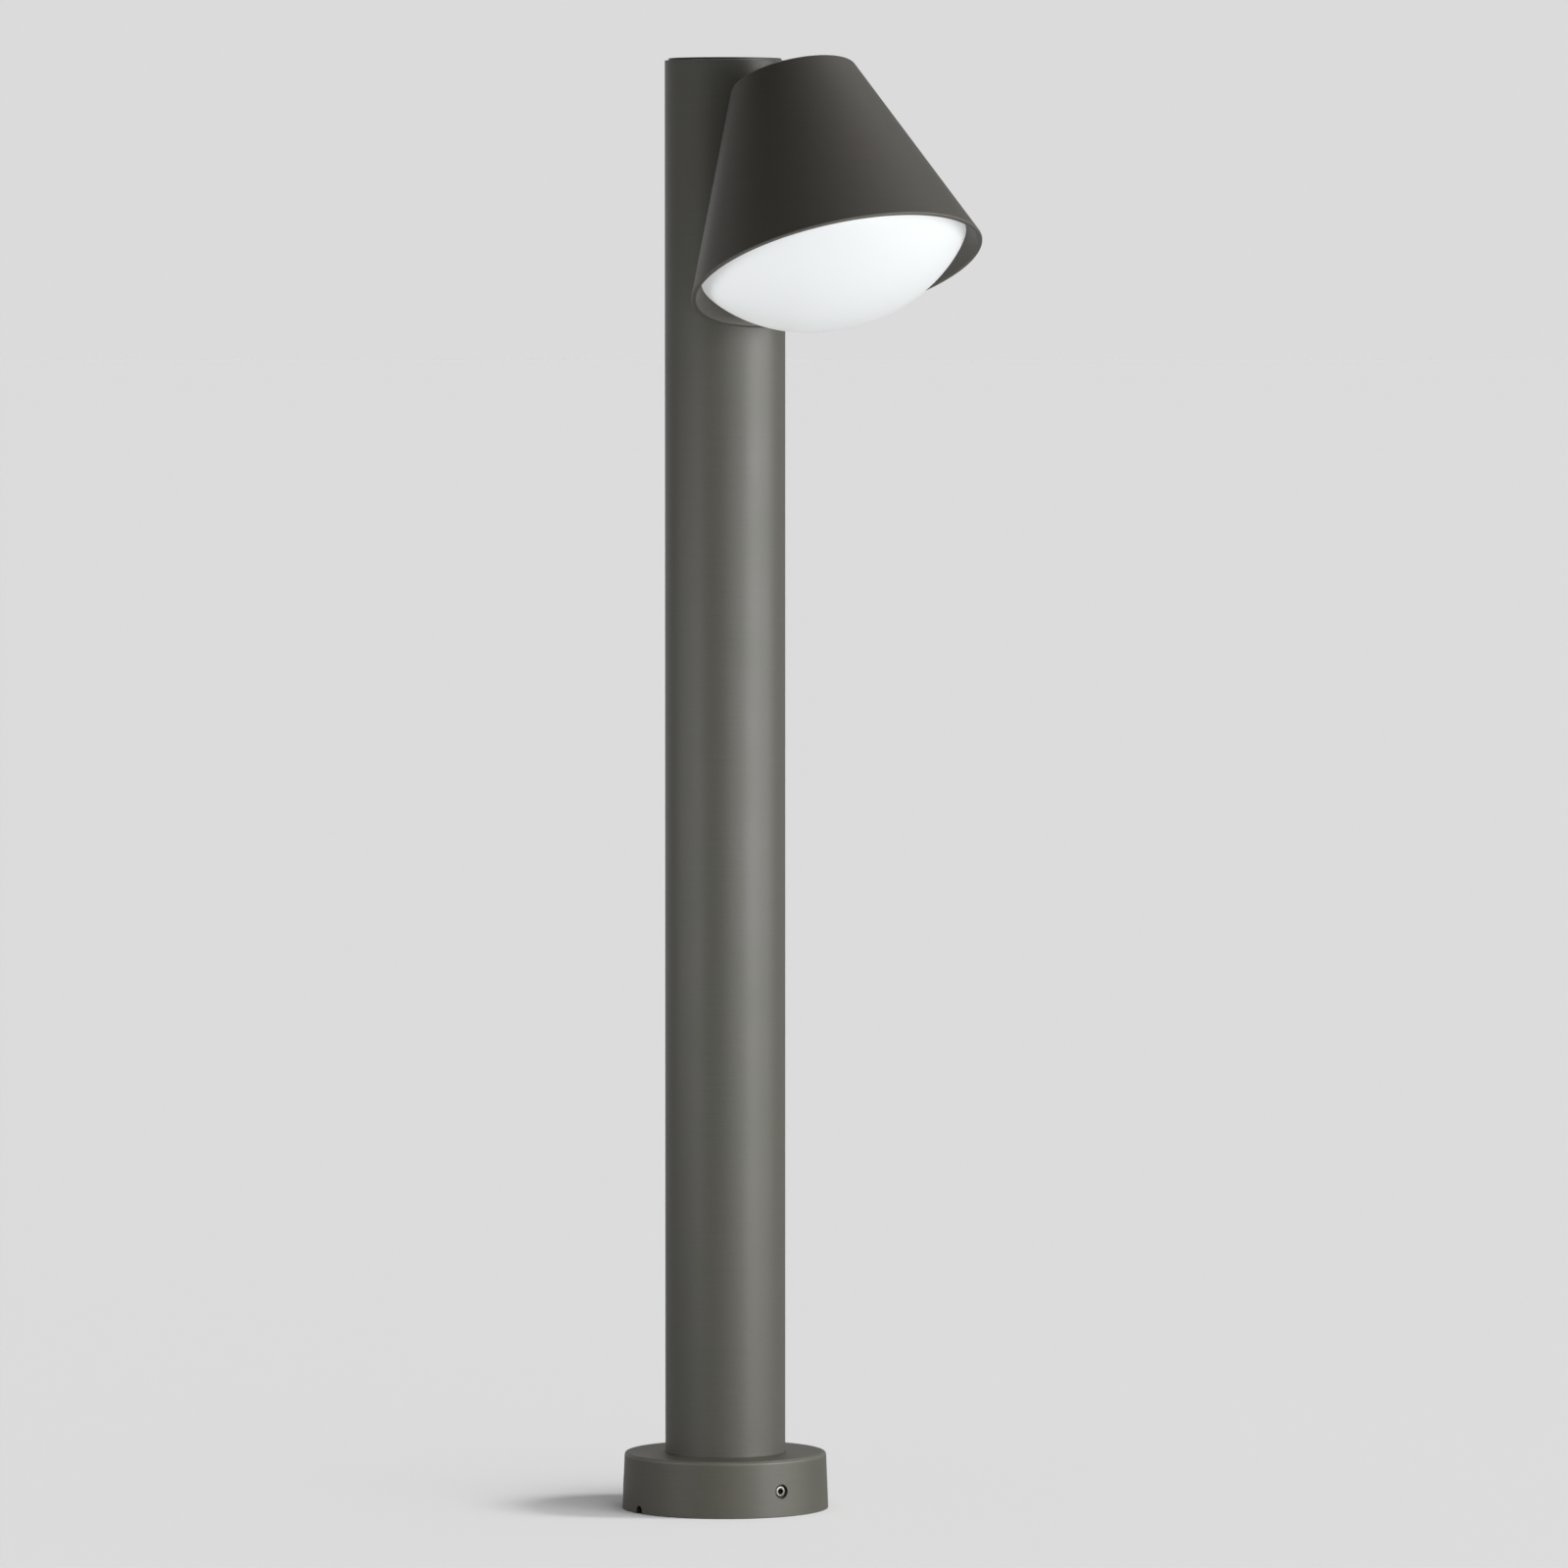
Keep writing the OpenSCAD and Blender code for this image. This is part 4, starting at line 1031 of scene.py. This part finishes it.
@dataclass
class Column:
    """The tube with its screw ports, its top cap and the cap's screws."""

    shop: Workshop
    wall: float = 2.5 * MM
    lip: float = 0.5 * MM
    cap_gap: float = 0.15 * MM
    cap_edge: float = 0.45 * MM
    grommet_lip: float = 2.5 * MM
    port_outer: float = 4.5 * MM
    port_bore: float = 2.55 * MM
    port_inset: float = 6 * MM
    neck: float = 5 * MM
    neck_root: float = 0.4 * MM
    neck_weld: float = 0.6 * MM
    ports: int = 4
    first_port: float = 45.0
    seal_play: float = 0.1 * MM
    pocket_floor: float = 2.6 * MM
    pocket_mouth: float = 4.75 * MM
    pocket_depth: float = 2.85 * MM
    pocket_rim: float = 0.15 * MM
    shank_hole: float = 2.65 * MM

    def build(self) -> None:
        """Build the tube and the cap."""
        self.build_tube()
        self.build_cap()

    def tube_size(self) -> tuple[float, float, float]:
        """Return the tube's radius, foot height and top height."""
        low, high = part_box("column_tube")
        return high.x, low.z, high.z

    def build_tube(self) -> None:
        """Turn the tube, set its ports inside it and drill its front wall."""
        radius, foot, top = self.tube_size()
        inner = radius - self.wall
        wall = Outline([Corner(inner, foot), Corner(radius, foot, self.lip), Corner(radius, top, self.lip),
                        Corner(inner, top, self.lip)])
        tube = self.shop.lathe.turn(wall, "tube_wall", steps=256)
        middle = saddle_middle()
        grommet_low, grommet_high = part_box("cable_grommet")
        drill = (grommet_high.x - grommet_low.x) / 2 - self.grommet_lip
        hole = bar(Vector((0, -radius - CUT_PAST, middle)), Vector((0, 0, middle)), drill)
        tube = carve(tube, "tube_drilled", [hole])
        port_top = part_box("top_cap")[0].z
        port = self.shop.lathe.turn(Outline([
            Corner(self.port_bore, foot), Corner(self.port_outer, foot), Corner(self.port_outer, port_top),
            Corner(self.port_bore, port_top)]), "port", steps=32)
        half = self.neck / 2
        web = block(Vector((self.port_outer - self.neck_root, -half, foot)),
                    Vector((self.port_inset + self.neck_weld, half, port_top)))
        one_port = join("port_and_neck", port, web)
        ports = self.shop.ring.repeat(one_port, "ports", self.ports, self.first_port, inner - self.port_inset)
        whole = join("column_tube_shell", tube, ports)
        piece(outwards(whole), "column_tube_shell", Body.COLUMN, GRAPHITE, "column_tube")

    def build_cap(self) -> None:
        """Turn the cap with a softened rim and seat its four screws."""
        low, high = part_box("top_cap")
        inner = self.tube_size()[0] - self.wall
        radius, screw_circle = inner - self.cap_gap, inner - self.port_inset
        seal_low, seal_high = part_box("cap_seal")
        groove = radius - (seal_high.z - seal_low.z)
        groove_low, groove_high = seal_low.z - self.seal_play, seal_high.z + self.seal_play
        disc = Outline([
            Corner(0, low.z), Corner(radius, low.z), Corner(radius, groove_low),
            Corner(groove, groove_low), Corner(groove, groove_high), Corner(radius, groove_high),
            Corner(radius, high.z, self.cap_edge), Corner(0, high.z)], closed=False)
        cap = self.shop.lathe.turn(disc, "cap_disc", steps=192)
        floor, past = high.z - self.pocket_depth, high.z + OVERLAP
        pocket = self.shop.lathe.turn(Outline([
            Corner(0, floor), Corner(self.pocket_floor, floor),
            Corner(self.pocket_mouth, high.z - self.pocket_rim), Corner(self.pocket_mouth, past),
            Corner(0, past)], closed=False), "pocket", steps=48)
        shank = bar(Vector((0, 0, low.z - OVERLAP)), Vector((0, 0, high.z)), self.shank_hole)
        tool = self.shop.ring.repeat(carve(pocket, "pocket", [shank], Cut.ADD), "pockets", self.ports,
                                     self.first_port, screw_circle)
        cap = carve(cap, "top_cap_disc", [tool])
        piece(cap, "top_cap_disc", Body.COLUMN, GRAPHITE, "top_cap")
        screw = Screw(self.shop, radius=2.5 * MM, head=4.6 * MM, head_height=2.7 * MM, length=16 * MM,
                      socket=1.75 * MM, socket_depth=1.7 * MM)
        one = place(screw.countersunk("cap_screw"), Matrix.Translation((0, 0, high.z)))
        screws = self.shop.ring.repeat(one, "cap_screws_set", self.ports, self.first_port, screw_circle)
        piece(outwards(screws), "cap_screws_set", Body.COLUMN, STEEL, "cap_screws")


@dataclass
class Base:
    """The round base with its set screws, drain notches and screw bosses."""

    shop: Workshop
    skirt: float = 5 * MM
    web: float = 9 * MM
    recess: float = 5 * MM
    recess_gap: float = 0.15 * MM
    web_hole: float = 18 * MM
    top_round: float = 2.2 * MM
    foot_round: float = 0.7 * MM
    edge_round: float = 0.3 * MM
    web_round: float = 1.5 * MM
    taper: float = 1.6 * MM
    screw_radius: float = 4 * MM
    screw_height: float = 17.5 * MM
    screw_length: float = 20 * MM
    screw_play: float = 0.05 * MM
    counterbore: float = 5 * MM
    clean_rim: float = 0.3 * MM
    socket: float = 2.0 * MM
    socket_depth: float = 5 * MM
    boss_start: float = 51.5 * MM
    boss_radius: float = 8 * MM
    notch_width: float = 7 * MM
    notch_height: float = 5.5 * MM
    notch_inside: float = 12 * MM
    notch_outside: float = 6 * MM
    notches: int = 2
    screws: int = 3
    first_screw: float = -90.0

    def build(self) -> None:
        """Build the base and its set screws."""
        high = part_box("base_flange")[1]
        foot_r = high.x
        recess_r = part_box("column_tube")[1].x + self.recess_gap
        web_low, seat = high.z - self.web, high.z - self.recess
        top_r = foot_r - self.taper
        slope = self.taper / high.z
        skirt_r = foot_r - self.skirt
        shell = Outline([
            Corner(skirt_r, 0, self.edge_round), Corner(foot_r, 0, self.foot_round),
            Corner(top_r, high.z, self.top_round), Corner(recess_r, high.z, self.edge_round),
            Corner(recess_r, seat), Corner(self.web_hole, seat), Corner(self.web_hole, web_low),
            Corner(skirt_r - slope * web_low, web_low, self.web_round)], arc_steps=8)
        body = self.shop.lathe.turn(shell, "base_shell", steps=256)
        boss = arch_bar(2 * self.boss_radius, web_low + OVERLAP - self.screw_height, self.boss_start,
                        foot_r - self.skirt / 2, up=True)
        bosses = self.shop.ring.repeat(boss, "bosses", self.screws, self.first_screw,
                                       height=self.screw_height)
        body = carve(body, "base_with_bosses", [bosses], Cut.ADD)
        body = carve(body, "base_body", [self.screw_tool(foot_r), self.notch_tool(foot_r)])
        self.mark_bores(body, foot_r, slope)
        piece(body, "base_body", Body.COLUMN, BASE_GRAPHITE, "base_flange")
        self.build_screws()

    def screw_tool(self, foot_r: float) -> bpy.types.Mesh:
        """Make the tool that bores all the set screw holes and their counterbores.

        Args:
            foot_r: the base's radius at the ground.

        Returns:
            The tool's mesh.
        """
        z = self.screw_height
        screw_end, outside = -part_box("set_screws")[0].y, Vector((foot_r + CUT_PAST, 0, z))
        bore = bar(Vector((self.boss_start - 2 * OVERLAP, 0, z)), outside,
                   self.screw_radius + self.screw_play)
        wide = bar(Vector((screw_end - OVERLAP, 0, z)), outside, self.counterbore)
        return self.shop.ring.repeat(carve(wide, "bore", [bore], Cut.ADD), "bores", self.screws,
                                     self.first_screw)

    def mark_bores(self, body: bpy.types.Mesh, foot_r: float, slope: float) -> None:
        """Mark the walls of the set screw holes, so that their finish paints shade in them.

        Args:
            body: the base's mesh, with its holes.
            foot_r: the base's radius at the ground.
            slope: how much that radius shrinks with height.
        """
        # Painted shade on the counterbore walls, all but a thin rim at the mouth.
        marks, wall = [0.0] * len(body.vertices), self.counterbore * 1.02
        for number in range(self.screws):
            turn = math.radians(self.first_screw + number * 360 / self.screws)
            along = Vector((math.cos(turn), math.sin(turn), 0))
            across = Vector((-along.y, along.x, 0))
            for vertex in body.vertices:
                side, rise = vertex.co.dot(across), vertex.co.z - self.screw_height
                if math.hypot(side, rise) < wall and vertex.co.dot(along) > self.boss_start:
                    surface = math.sqrt((foot_r - slope * vertex.co.z) ** 2 - side ** 2)
                    if surface - vertex.co.dot(along) > self.clean_rim:
                        marks[vertex.index] = 1.0
        set_marks(body, "recess", marks)

    def notch_tool(self, foot_r: float) -> bpy.types.Mesh:
        """Make the tool that cuts the drain notches.

        Args:
            foot_r: the base's radius at the ground.

        Returns:
            The tool's mesh.
        """
        rise = self.notch_height - self.notch_width / 2
        tool = arch_bar(self.notch_width, rise + 2 * OVERLAP, foot_r - self.notch_inside,
                        foot_r + self.notch_outside, up=False)
        return self.shop.ring.repeat(tool, "notches", self.notches, 0, height=rise)

    def build_screws(self) -> None:
        """Build the set screws, pointing at the axis."""
        reach = -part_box("set_screws")[0].y
        screw = Screw(self.shop, self.screw_radius, head=0, head_height=0, length=self.screw_length,
                      socket=self.socket, socket_depth=self.socket_depth)
        turned = Matrix.Translation((reach, 0, self.screw_height)) @ Matrix.Rotation(math.pi / 2, 4, "Y")
        one = place(screw.headless("set_screw"), turned)
        ring = self.shop.ring.repeat(one, "set_screws_ring", self.screws, self.first_screw)
        piece(outwards(ring), "set_screws_ring", Body.COLUMN, STEEL, "set_screws")


@dataclass
class Shade:
    """The cone shade with its lip, screw posts, bosses and the pad for the head bolts."""

    shop: Workshop
    head: HeadPlace
    top_radius: float = 43.4 * MM
    length: float = 141 * MM
    wall: float = 3.5 * MM
    end_wall: float = 4 * MM
    top_round: float = 1.3 * MM
    lip_round: float = 0.9 * MM
    inner_round: float = 2 * MM
    post_radius: float = 5 * MM
    post_circle: float = 32 * MM
    post_foot: float = 82 * MM
    boss_radius: float = 4.5 * MM
    boss_length: float = 19 * MM
    boss_foot: float = 20.7 * MM
    boss_from_wall: float = 3.2 * MM
    posts: int = 3
    first_post: float = 30.0
    mount_radius: float = 27.5 * MM
    mount_depth: float = 4 * MM
    pad_from_grommet: float = 1.5 * MM
    pad_depth: float = 8.6 * MM

    def build(self) -> None:
        """Turn the cone, add what it carries inside and put it in the head's place."""
        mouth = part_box("shade")[1].x
        slope = (mouth - self.top_radius) / self.length
        thick = self.wall / math.cos(math.atan(slope))
        end_z = self.length - self.end_wall
        inner_top = mouth - slope * end_z - thick
        weld = Vector((0, 0, end_z + OVERLAP))
        cone = Outline([
            Corner(0, end_z), Corner(inner_top, end_z, self.inner_round),
            Corner(mouth - thick, 0, self.lip_round), Corner(mouth, 0, self.lip_round),
            Corner(self.top_radius, self.length, self.top_round), Corner(0, self.length)], closed=False)
        shell = self.shop.lathe.turn(cone, "shade_cone", steps=288)
        post = bar(Vector((0, 0, self.post_foot)), weld, self.post_radius)
        posts = self.shop.ring.repeat(post, "posts", self.posts, self.first_post, self.post_circle)
        lean = Matrix.Shear("XY", 4, (-slope, 0))
        stub = bar(Vector((0, 0, 0)), Vector((0, 0, self.boss_length)), self.boss_radius)
        wall_here = mouth - slope * self.boss_foot - thick
        foot = Matrix.Translation((wall_here - self.boss_from_wall, 0, self.boss_foot))
        bosses = self.shop.ring.repeat(place(stub, foot @ lean), "bosses", self.posts, self.first_post)
        mount = bar(Vector((0, 0, end_z - self.mount_depth)), weld, self.mount_radius)
        whole = place(join("shade_shell", shell, posts, bosses, mount), self.head.matrix())
        middle, pad_y = saddle_middle(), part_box("cable_grommet")[0].y + self.pad_from_grommet
        pad = bar(Vector((0, pad_y, middle)), Vector((0, pad_y + self.pad_depth, middle)),
                  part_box("head_saddle")[1].x)
        whole = join("shade_shell", whole, pad)
        piece(outwards(whole), "shade_shell", Body.COLUMN, SHADE_GRAPHITE, "shade")


@dataclass
class OpalGlass:
    """The domed glass with its neck and bayonet lugs."""

    shop: Workshop
    head: HeadPlace
    wall: float = 4 * MM
    edge_depth: float = 10.5 * MM
    bulge: float = 45.8 * MM
    fullness: float = 0.2
    neck_radius: float = 78 * MM
    neck_height: float = 16.5 * MM
    shoulder_round: float = 1.8 * MM
    root_round: float = 0.6 * MM
    neck_round: float = 1.2 * MM
    inner_round: float = 1 * MM
    lug_reach: float = 2.5 * MM
    lug_root: float = 1 * MM
    lug_low: float = 21.3 * MM
    lug_height: float = 3.7 * MM
    lug_span: float = 24.0
    first_lug: float = 135.0
    lugs: int = 3
    steps: int = 56

    def dome(self, radius: float, bulge: float) -> list[Corner]:
        """Shape a domed wall, part ball and part ellipse.

        Args:
            radius: the radius at its edge.
            bulge: how far its tip stands out.

        Returns:
            The wall's points, from its tip to its edge.
        """
        ball = (radius ** 2 + bulge ** 2) / (2 * bulge)
        points = []
        for i in range(self.steps + 1):
            x = radius * math.sin(math.pi / 2 * i / self.steps)
            round_part = math.sqrt(ball ** 2 - x ** 2) - ball + bulge
            full_part = bulge * math.sqrt(max(0.0, 1 - (x / radius) ** 2))
            depth = (1 - self.fullness) * round_part + self.fullness * full_part
            points.append(Corner(x, self.edge_depth - depth))
        return points

    def build(self) -> None:
        """Turn the glass, add its lugs and put it in the head's place."""
        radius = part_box("opal_glass")[1].x
        shoulder = self.edge_depth + self.wall
        neck_top = self.edge_depth + self.neck_height
        inner_neck = self.neck_radius - self.wall
        outer = self.dome(radius, self.bulge)
        inner = self.dome(radius - self.wall, self.bulge - self.wall)
        section = Outline([
            *outer, Corner(radius, shoulder, self.shoulder_round),
            Corner(self.neck_radius, shoulder, self.root_round),
            Corner(self.neck_radius, neck_top, self.neck_round),
            Corner(inner_neck, neck_top, self.neck_round),
            Corner(inner_neck, self.edge_depth, self.inner_round), *inner[::-1]], closed=False)
        bowl = self.shop.lathe.turn(section, "glass_bowl", steps=256)
        reach = self.neck_radius + self.lug_reach
        lug = curved_block(self.neck_radius - self.lug_root, reach, self.lug_low,
                           self.lug_low + self.lug_height, self.lug_span)
        lugs = self.shop.ring.repeat(lug, "lugs", self.lugs, self.first_lug)
        whole = place(join("opal_dome", bowl, lugs), self.head.matrix())
        piece(outwards(whole), "opal_dome", Body.GLASS, OPAL, "opal_glass")


class Innards:
    """The CAD nodes that stay as they are and only need a finish."""

    @staticmethod
    def dress() -> None:
        """Give each CAD node the finish of its material slot."""
        for row in frame["record"]["subparts"]:
            node = frame["nodes"][row["node"]]
            finish = SLOT_FINISH[row["material_slot"]]
            node.data.materials.clear()
            node.data.materials.append(finish.material())
            if not node.hide_render:
                LOG.info("%s: %s", row["node"], finish.name)


# ---------------------------------------------------------------- studio


@dataclass(frozen=True)
class Panel:
    """A square soft light panel, its power in watts, that faces the object."""

    name: str
    azimuth: float
    distance: float
    side: float
    power: float
    elevation: float = 3.0
    aim_height: float = 0.55


@dataclass(frozen=True)
class Sun:
    """A sun that lights the floor only, its softness the angle that it fills."""

    name: str
    azimuth: float
    elevation: float
    softness: float
    strength: float


@dataclass
class Studio:
    """The floor, the light and the camera.

    Angles are in degrees, and an azimuth goes from the camera to the right. Levels are linear. The
    walls change into the ceiling, and the backdrop fades from reflections, between two heights of a
    direction, and the ceiling grows bright between two shares of its turn to the right. Mirrored is
    the share of the backdrop that glossy surfaces show. Floor tone sets the floor against it.
    """

    backdrop: float = from_srgb((219, 219, 219))[0]
    wall_level: float = 0.02
    wall_top: tuple[float, float] = (0.12, 0.75)
    ceiling_right: float = 0.375
    ceiling_span: tuple[float, float] = (-0.45, 0.7)
    panels: tuple[Panel, ...] = (
        Panel("key_middle", 60, 3.0, 1.3, 32.7), Panel("key_side", 85, 3.0, 1.3, 22.6),
        Panel("key_high", 58, 3.0, 1.0, 6.9, elevation=15),
        Panel("low_right", 45, 1.7, 0.65, 6.73, aim_height=0.28),
        Panel("low_left", -50, 1.7, 0.65, 1.99, aim_height=0.28),
        Panel("front", 20, 1.2, 0.6, 2.8, elevation=0, aim_height=0.45),
        Panel("left_front", -60, 1.2, 0.6, 1.64, elevation=0, aim_height=0.45),
        Panel("left_edge", -85, 1.2, 0.6, 1.37, elevation=0, aim_height=0.45),
        Panel("left_back", -120, 3.0, 1.3, 1.0, elevation=30), Panel("back_low", -150, 3.0, 1.3, 1.5),
        Panel("back_high", 175, 3.0, 1.3, 28.0, elevation=48))
    glass_fill: Panel = Panel("glass_fill", -75, 1.5, 0.8, 8.6, elevation=-20, aim_height=0.87)
    suns: tuple[Sun, ...] = (
        Sun("floor_sun", 84, 25, 16, 3.4), Sun("floor_middle", 55, 18, 30, 2.2),
        Sun("floor_back", 25, 13, 40, 2.5), Sun("floor_fill", 0, 88, 60, 1.2))
    backdrop_top: tuple[float, float] = (0.1, 0.5)
    floor_size: float = 400.0
    floor_bounce: float = 0.119
    mirrored: float = 0.4
    floor_tone: float = 0.7319
    head_lean: float = -30 * MM
    view_azimuth: float = 33.6
    camera_distance: float = 6.986
    camera_height: float = 0.8236
    aim_right: float = 40.6 * MM
    aim_height: float = 0.5015
    lens: float = 232.5
    sensor: float = 36.0
    sight: float = 200.0

    def build(self) -> None:
        """Set up the whole studio."""
        self.build_world()
        self.build_lights(self.build_floor())
        self.build_camera()
        bpy.context.scene.view_settings.view_transform = "Standard"

    def build_world(self) -> None:
        """Light the surroundings: dim walls, under a ceiling that grows bright to the right."""
        world = bpy.data.worlds.new("studio")
        bpy.context.scene.world = world
        t = fresh_tree(world)
        direction = t.add("ShaderNodeTexCoord").outputs["Generated"]
        up = t.add("ShaderNodeSeparateXYZ", {0: direction}).outputs["Z"]
        right = t.add("ShaderNodeVectorMath", {0: direction, 1: self.direction(90, 0)},
                      operation="DOT_PRODUCT").outputs["Value"]
        rise = self.blend(t, up, self.wall_top, 0.0, 1.0)
        ceiling = self.blend(t, right, self.ceiling_span, self.wall_level, self.ceiling_right)
        level = t.between(rise, self.wall_level, ceiling)
        path = t.add("ShaderNodeLightPath").outputs
        mirrored = t.math("MULTIPLY", path["Is Glossy Ray"],
                          self.blend(t, up, self.backdrop_top, self.mirrored, 0.0))
        seen = t.math("MAXIMUM", self.seen(t, path), mirrored)
        shown = t.between(seen, level, self.backdrop)
        glow = t.add("ShaderNodeBackground", {"Color": (1, 1, 1, 1), "Strength": shown})
        t.add("ShaderNodeOutputWorld", {"Surface": glow.outputs[0]})

    @staticmethod
    def seen(t: Tree, path: bpy.types.bpy_prop_collection) -> bpy.types.NodeSocket:
        """Return 1 for rays that come from the camera, also through glass, and 0 for others."""
        return t.math("MAXIMUM", path["Is Camera Ray"], path["Is Transmission Ray"])

    @staticmethod
    def blend(t: Tree, value: bpy.types.NodeSocket, span: tuple[float, float], low: float,
              high: float) -> bpy.types.NodeSocket:
        """Let a level go smoothly from low to high while a value crosses a span.

        Args:
            t: the tree to work in.
            value: the value.
            span: where the change starts and ends.
            low: the level before it.
            high: the level after it.

        Returns:
            The level.
        """
        return t.add("ShaderNodeMapRange", {
            "Value": value, "From Min": span[0], "From Max": span[1], "To Min": low, "To Max": high},
            interpolation_type="SMOOTHSTEP").outputs[0]

    def build_floor(self) -> bpy.types.Object:
        """Lay a wide pale floor that keeps the foot's shadow and is seen through from below.

        Returns:
            The floor.
        """
        half = self.floor_size / 2
        mesh = bpy.data.meshes.new("floor")
        mesh.from_pydata([(-half, -half, 0), (half, -half, 0), (half, half, 0), (-half, half, 0)], [],
                         [(0, 1, 2, 3)])
        floor = new_object("floor", mesh)
        material = bpy.data.materials.new("pale_floor")
        t = fresh_tree(material)
        path = t.add("ShaderNodeLightPath").outputs
        shown = self.backdrop * self.floor_tone
        dim = t.between(path["Is Glossy Ray"], self.floor_bounce, shown * self.mirrored)
        tone = t.between(self.seen(t, path), dim, shown)
        above = t.add("ShaderNodeBsdfDiffuse", {"Color": tone})
        below = t.add("ShaderNodeNewGeometry").outputs["Backfacing"]
        surface = t.add("ShaderNodeMixShader", {
            0: below, 1: above.outputs[0], 2: t.add("ShaderNodeBsdfTransparent").outputs[0]})
        t.add("ShaderNodeOutputMaterial", {"Surface": surface.outputs[0]})
        mesh.materials.append(material)
        return floor

    def direction(self, azimuth: float, elevation: float) -> Vector:
        """Turn an azimuth and elevation into a direction.

        Args:
            azimuth: the angle from the camera to the right.
            elevation: the angle above the horizon.

        Returns:
            A vector of length 1 away from the object.
        """
        turn = math.radians(azimuth - self.view_azimuth)
        rise = math.radians(elevation)
        return Vector((math.sin(turn) * math.cos(rise), -math.cos(turn) * math.cos(rise), math.sin(rise)))

    def stand(self, panel: Panel) -> bpy.types.Object:
        """Set up one light panel.

        Args:
            panel: the panel.

        Returns:
            The lamp.
        """
        data = bpy.data.lights.new(panel.name, "AREA")
        data.shape, data.size, data.energy = "SQUARE", panel.side, panel.power
        lamp = new_object(panel.name, data)
        away = self.direction(panel.azimuth, panel.elevation)
        lamp.location = Vector((0, self.head_lean, panel.aim_height)) + away * panel.distance
        lamp.rotation_euler = self.turned(away)
        lamp.visible_camera = False
        return lamp

    @staticmethod
    def turned(back: Vector) -> Euler:
        """Return the rotation of a lamp or camera whose back points in a direction."""
        return back.to_track_quat("Z", "Y").to_euler()

    def build_lights(self, floor: bpy.types.Object) -> None:
        """Set the panels round the object, and the soft suns that only light the floor.

        The foot alone shades the floor from the suns, so that its shadow stays short.

        Args:
            floor: the floor.
        """
        pieces = [o for o in bpy.context.scene.objects if o.type == "MESH" and o != floor]
        object_only = self.group("object_only", pieces)
        for panel in self.panels:
            self.stand(panel).light_linking.receiver_collection = object_only
        glass_only = self.group("glass_only", [o for o in pieces if o.name == "opal_dome"])
        self.stand(self.glass_fill).light_linking.receiver_collection = glass_only
        foot = [o for o in pieces if o.name in ("base_body", "set_screws_ring")]
        floor_only, foot_only = self.group("floor_only", [floor]), self.group("foot_only", foot)
        for sun in self.suns:
            data = bpy.data.lights.new(sun.name, "SUN")
            data.energy, data.angle = sun.strength, math.radians(sun.softness)
            lamp = new_object(sun.name, data)
            lamp.rotation_euler = self.turned(self.direction(sun.azimuth, sun.elevation))
            lamp.light_linking.receiver_collection = floor_only
            lamp.light_linking.blocker_collection = foot_only

    @staticmethod
    def group(name: str, members: list[bpy.types.Object]) -> bpy.types.Collection:
        """Gather objects in a collection that a lamp can be linked to.

        Args:
            name: the collection's name.
            members: the objects.

        Returns:
            The collection.
        """
        gathered = bpy.data.collections.new(name)
        for member in members:
            gathered.objects.link(member)
        return gathered

    def build_camera(self) -> None:
        """Stand the camera at its distance and aim it beside the column."""
        data = bpy.data.cameras.new("camera")
        data.lens, data.sensor_width, data.clip_end = self.lens, self.sensor, self.sight
        camera = new_object("camera", data)
        towards = self.direction(0, 0)
        right = Vector((-towards.y, towards.x, 0))
        aim = right * self.aim_right + Vector((0, 0, self.aim_height))
        stand = right * self.aim_right + towards * self.camera_distance + Vector((0, 0, self.camera_height))
        camera.location = stand
        camera.rotation_euler = self.turned(stand - aim)
        bpy.context.scene.camera = camera


def main() -> None:
    """Build every sub-assembly in order."""
    logging.basicConfig(level=logging.INFO, format="%(name)s %(message)s")
    shop = Workshop()
    head = HeadPlace.from_frame()
    for part in (Base(shop), Column(shop), Shade(shop, head), OpalGlass(shop, head)):
        part.build()
        LOG.info("%s built", type(part).__name__)
    Innards.dress()
    Studio().build()


if __name__ == "__main__":
    main()
